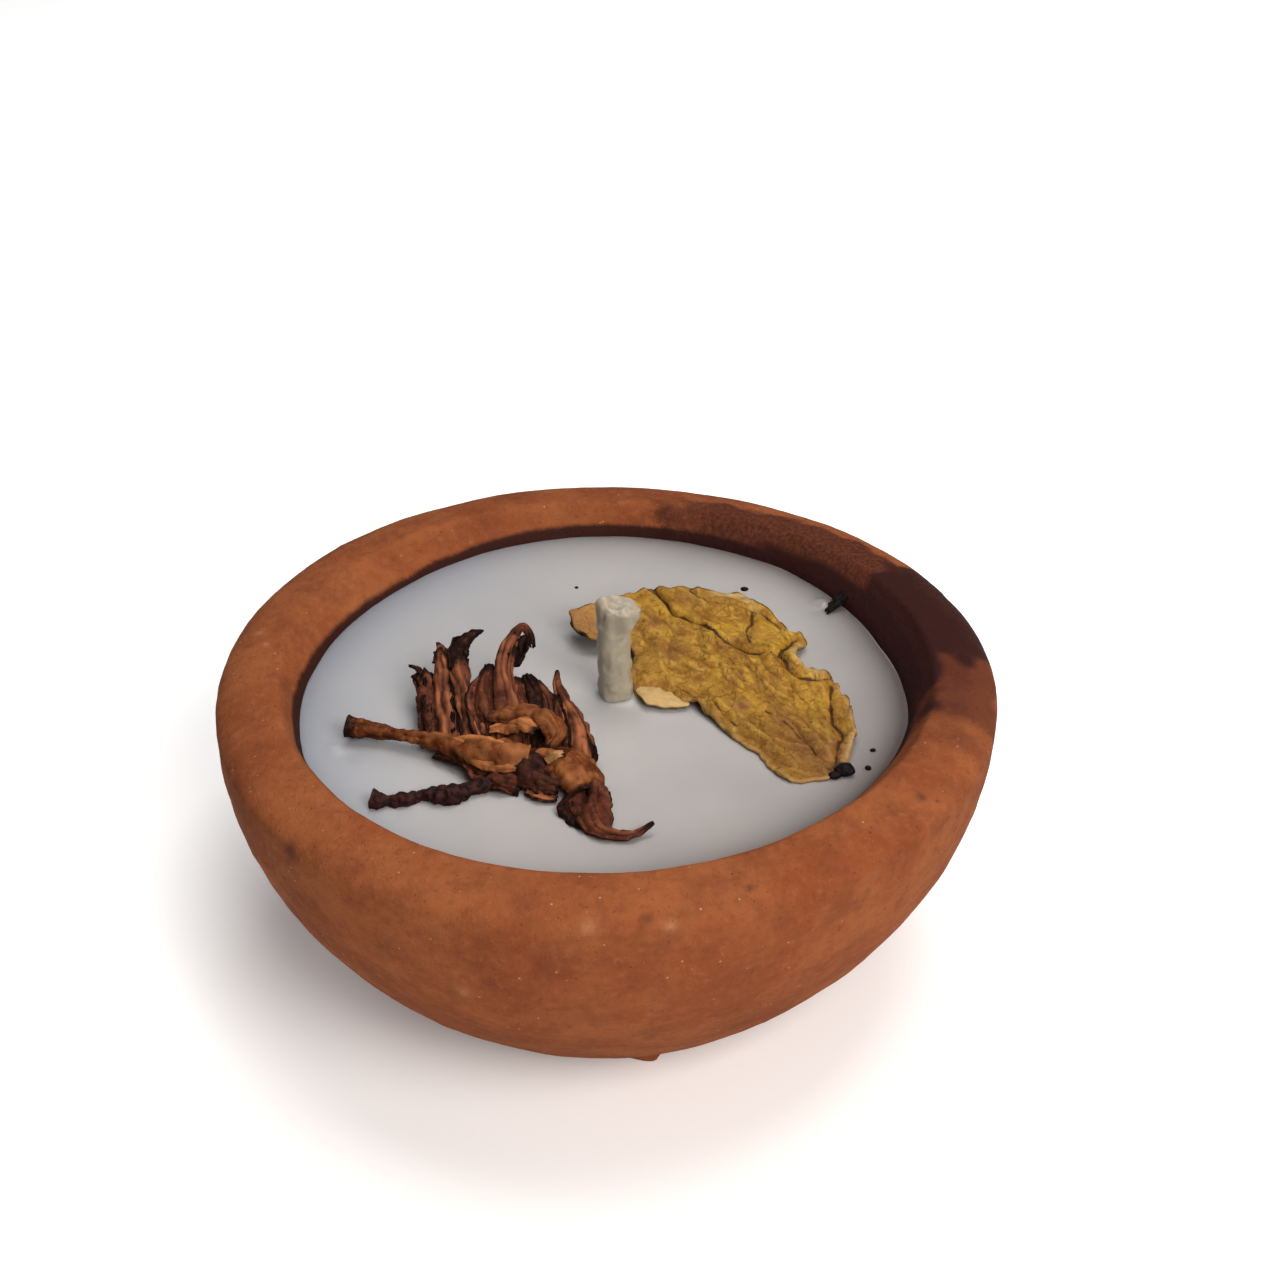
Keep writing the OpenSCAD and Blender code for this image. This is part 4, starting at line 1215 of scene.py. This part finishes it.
    flower_piece("petal_right_dried", "petal_right", BROWN, [
        strip([(-2.4, -12.2, 1.8), (-2.5, -9.2, 2.4), (-3.2, -7.0, 3.1), (-4.0, -4.8, 3.8),
            (-4.2, -2.9, 4.3)], [1.5, 1.5, 1.0, 0.5, 0.1], curl=-1.0, seed=43, warm=0.85),
        strip([(-3.7, -11.4, 1.9), (-3.9, -8.2, 2.7), (-4.3, -5.4, 3.5)], [0.8, 0.6, 0.2], curl=1.0,
            seed=57, shade=0.5),
        strip([(-2.0, -13.0, 1.7), (-1.4, -11.0, 1.5), (-1.9, -9.0, 1.9)], [0.9, 0.7, 0.2], curl=-1.0,
            seed=44, shade=0.75)])
    flower_piece("petal_curl_dried", "petal_curl", TAN, [
        strip([(-9.9, -8.0, 3.5), (-8.2, -8.7, 4.1), (-6.4, -8.9, 4.4), (-4.9, -9.7, 4.1),
            (-4.3, -11.1, 3.4), (-5.1, -12.3, 2.7)], [0.5, 1.0, 1.15, 1.15, 0.95, 0.5], curl=-0.9,
            folds=3, crumple=0.38, seed=45, warm=0.5, mauve=0.1, relief=0.6),
        strip([(-9.9, -9.9, 3.1), (-8.5, -10.0, 3.7), (-7.0, -10.2, 4.1), (-5.9, -11.0, 3.7)],
            [0.5, 0.85, 0.9, 0.55], curl=-1.0, crumple=0.34, seed=46, warm=0.9, relief=0.6),
        strip([(-8.6, -9.6, 3.2), (-7.2, -9.6, 3.6), (-5.9, -10.3, 3.4)], [0.5, 0.8, 0.5], curl=1.0,
            seed=59, shade=0.8),
        strip([(-10.6, -10.4, 2.3), (-9.2, -11.4, 2.3), (-7.6, -12.2, 2.4)], [0.5, 0.8, 0.5],
            curl=-1.1, seed=58, warm=0.5)])


# ---- Flecks ----

def flecks():
    flower_piece("petal_claw_charred", "petal_claw", CHAR, [
        lump((20.5, -12.9, 0.45), (0.85, 0.55, 0.45), seed=51, crumple=0.3, detail=4),
        lump((19.7, -13.4, 0.3), (0.5, 0.35, 0.28), seed=52, crumple=0.3, detail=3)], 0)
    flower_piece("char_flake_split", "char_flake", CHAR, [
        strip([(23.4, 15.0, 1.0), (22.4, 13.8, 0.6), (21.3, 12.8, 0.2)], [0.4, 0.6, 0.3], curl=1.0,
            seed=53, ragged=0.8)], 0.2)
    flower_piece("char_specks_scattered", "char_specks", CHAR, [
        lump((22.6, -12.2, 0.1), (0.28, 0.24, 0.2), seed=54, crumple=0.1, detail=3),
        lump((23.3, -9.6, 0.1), (0.3, 0.2, 0.18), seed=55, crumple=0.1, detail=3),
        lump((-2.6, 17.9, 0.05), (0.17, 0.14, 0.12), seed=56, crumple=0.05, detail=3),
        lump((13.4, 13.8, 2.2), (0.36, 0.24, 0.2), seed=60, crumple=0.1, detail=3)], 0)


bowl_piece()
wax_piece()
wick_piece()
yellow_petal_piece()
petal_folds()
dried_flower()
flecks()


# ---- Floor, light and camera ----

def floor():
    half = 1.5
    low = -0.01 * MM            # so that the foot's flat rim isn't in the floor's own plane
    corners = [(-half, -half, low), (half, -half, low), (half, half, low), (-half, half, low)]
    mesh = bpy.data.meshes.new("floor")
    mesh.from_pydata(corners, [], [(0, 1, 2, 3)])
    look = Look("floor", roughness=0.9, Base_Color=(0.9, 0.9, 0.9, 1),
                Emission_Color=(1, 1, 1, 1), Emission_Strength=0.14)
    mesh.materials.append(look.material)
    plane = bpy.data.objects.new("floor", mesh)
    bpy.context.scene.collection.objects.link(plane)


def area_light(name, place, target, size, watts, tint):
    """A soft square light."""
    light = bpy.data.lights.new(name, "AREA")
    light.size = size
    light.energy = watts
    light.color = tint
    lamp = bpy.data.objects.new(name, light)
    lamp.location = place
    lamp.rotation_euler = (Vector(target) - lamp.location).to_track_quat("-Z", "Y").to_euler()
    bpy.context.scene.collection.objects.link(lamp)


def camera():
    """The camera stands 0.22 m from the middle of the bowl and looks down by 33 degrees."""
    lens = bpy.data.cameras.new("camera")
    lens.lens = 65.97
    lens.sensor_width = 36
    lens.clip_start = 0.01
    view = bpy.data.objects.new("camera", lens)
    look_ahead = Vector((0.01536, 0.8365, -0.54775)).normalized()
    look_right = Vector((0.99978, -0.02057, -0.00336)).normalized()
    look_up = look_right.cross(look_ahead)
    turn = Matrix((look_right, look_up, -look_ahead)).transposed()
    view.matrix_world = Matrix.Translation((0, -0.17478, 0.14606)) @ turn.to_4x4()
    bpy.context.scene.collection.objects.link(view)
    bpy.context.scene.camera = view


floor()
bowl_top = (0, 0, BOWL_H * MM)
area_light("key", (0.2, -0.36, 0.36), bowl_top, 0.3, 2.55, (1.0, 0.97, 0.93))
area_light("window", (-0.25, 0.6, 0.42), bowl_top, 0.35, 0.35, (0.8, 0.9, 1.0))
area_light("overhead", (0.08, 0.12, 0.6), bowl_top, 0.4, 2.45, (1.0, 0.98, 0.96))
camera()

world = bpy.data.worlds.new("studio")
world.use_nodes = True
sky = world.node_tree.nodes["Background"].inputs
sky["Color"].default_value = (0.95, 0.97, 1.0, 1)
sky["Strength"].default_value = 0.14
bpy.context.scene.world = world
picture = bpy.context.scene.view_settings
picture.view_transform = "Standard"
picture.exposure = 0.19
picture.gamma = 0.9
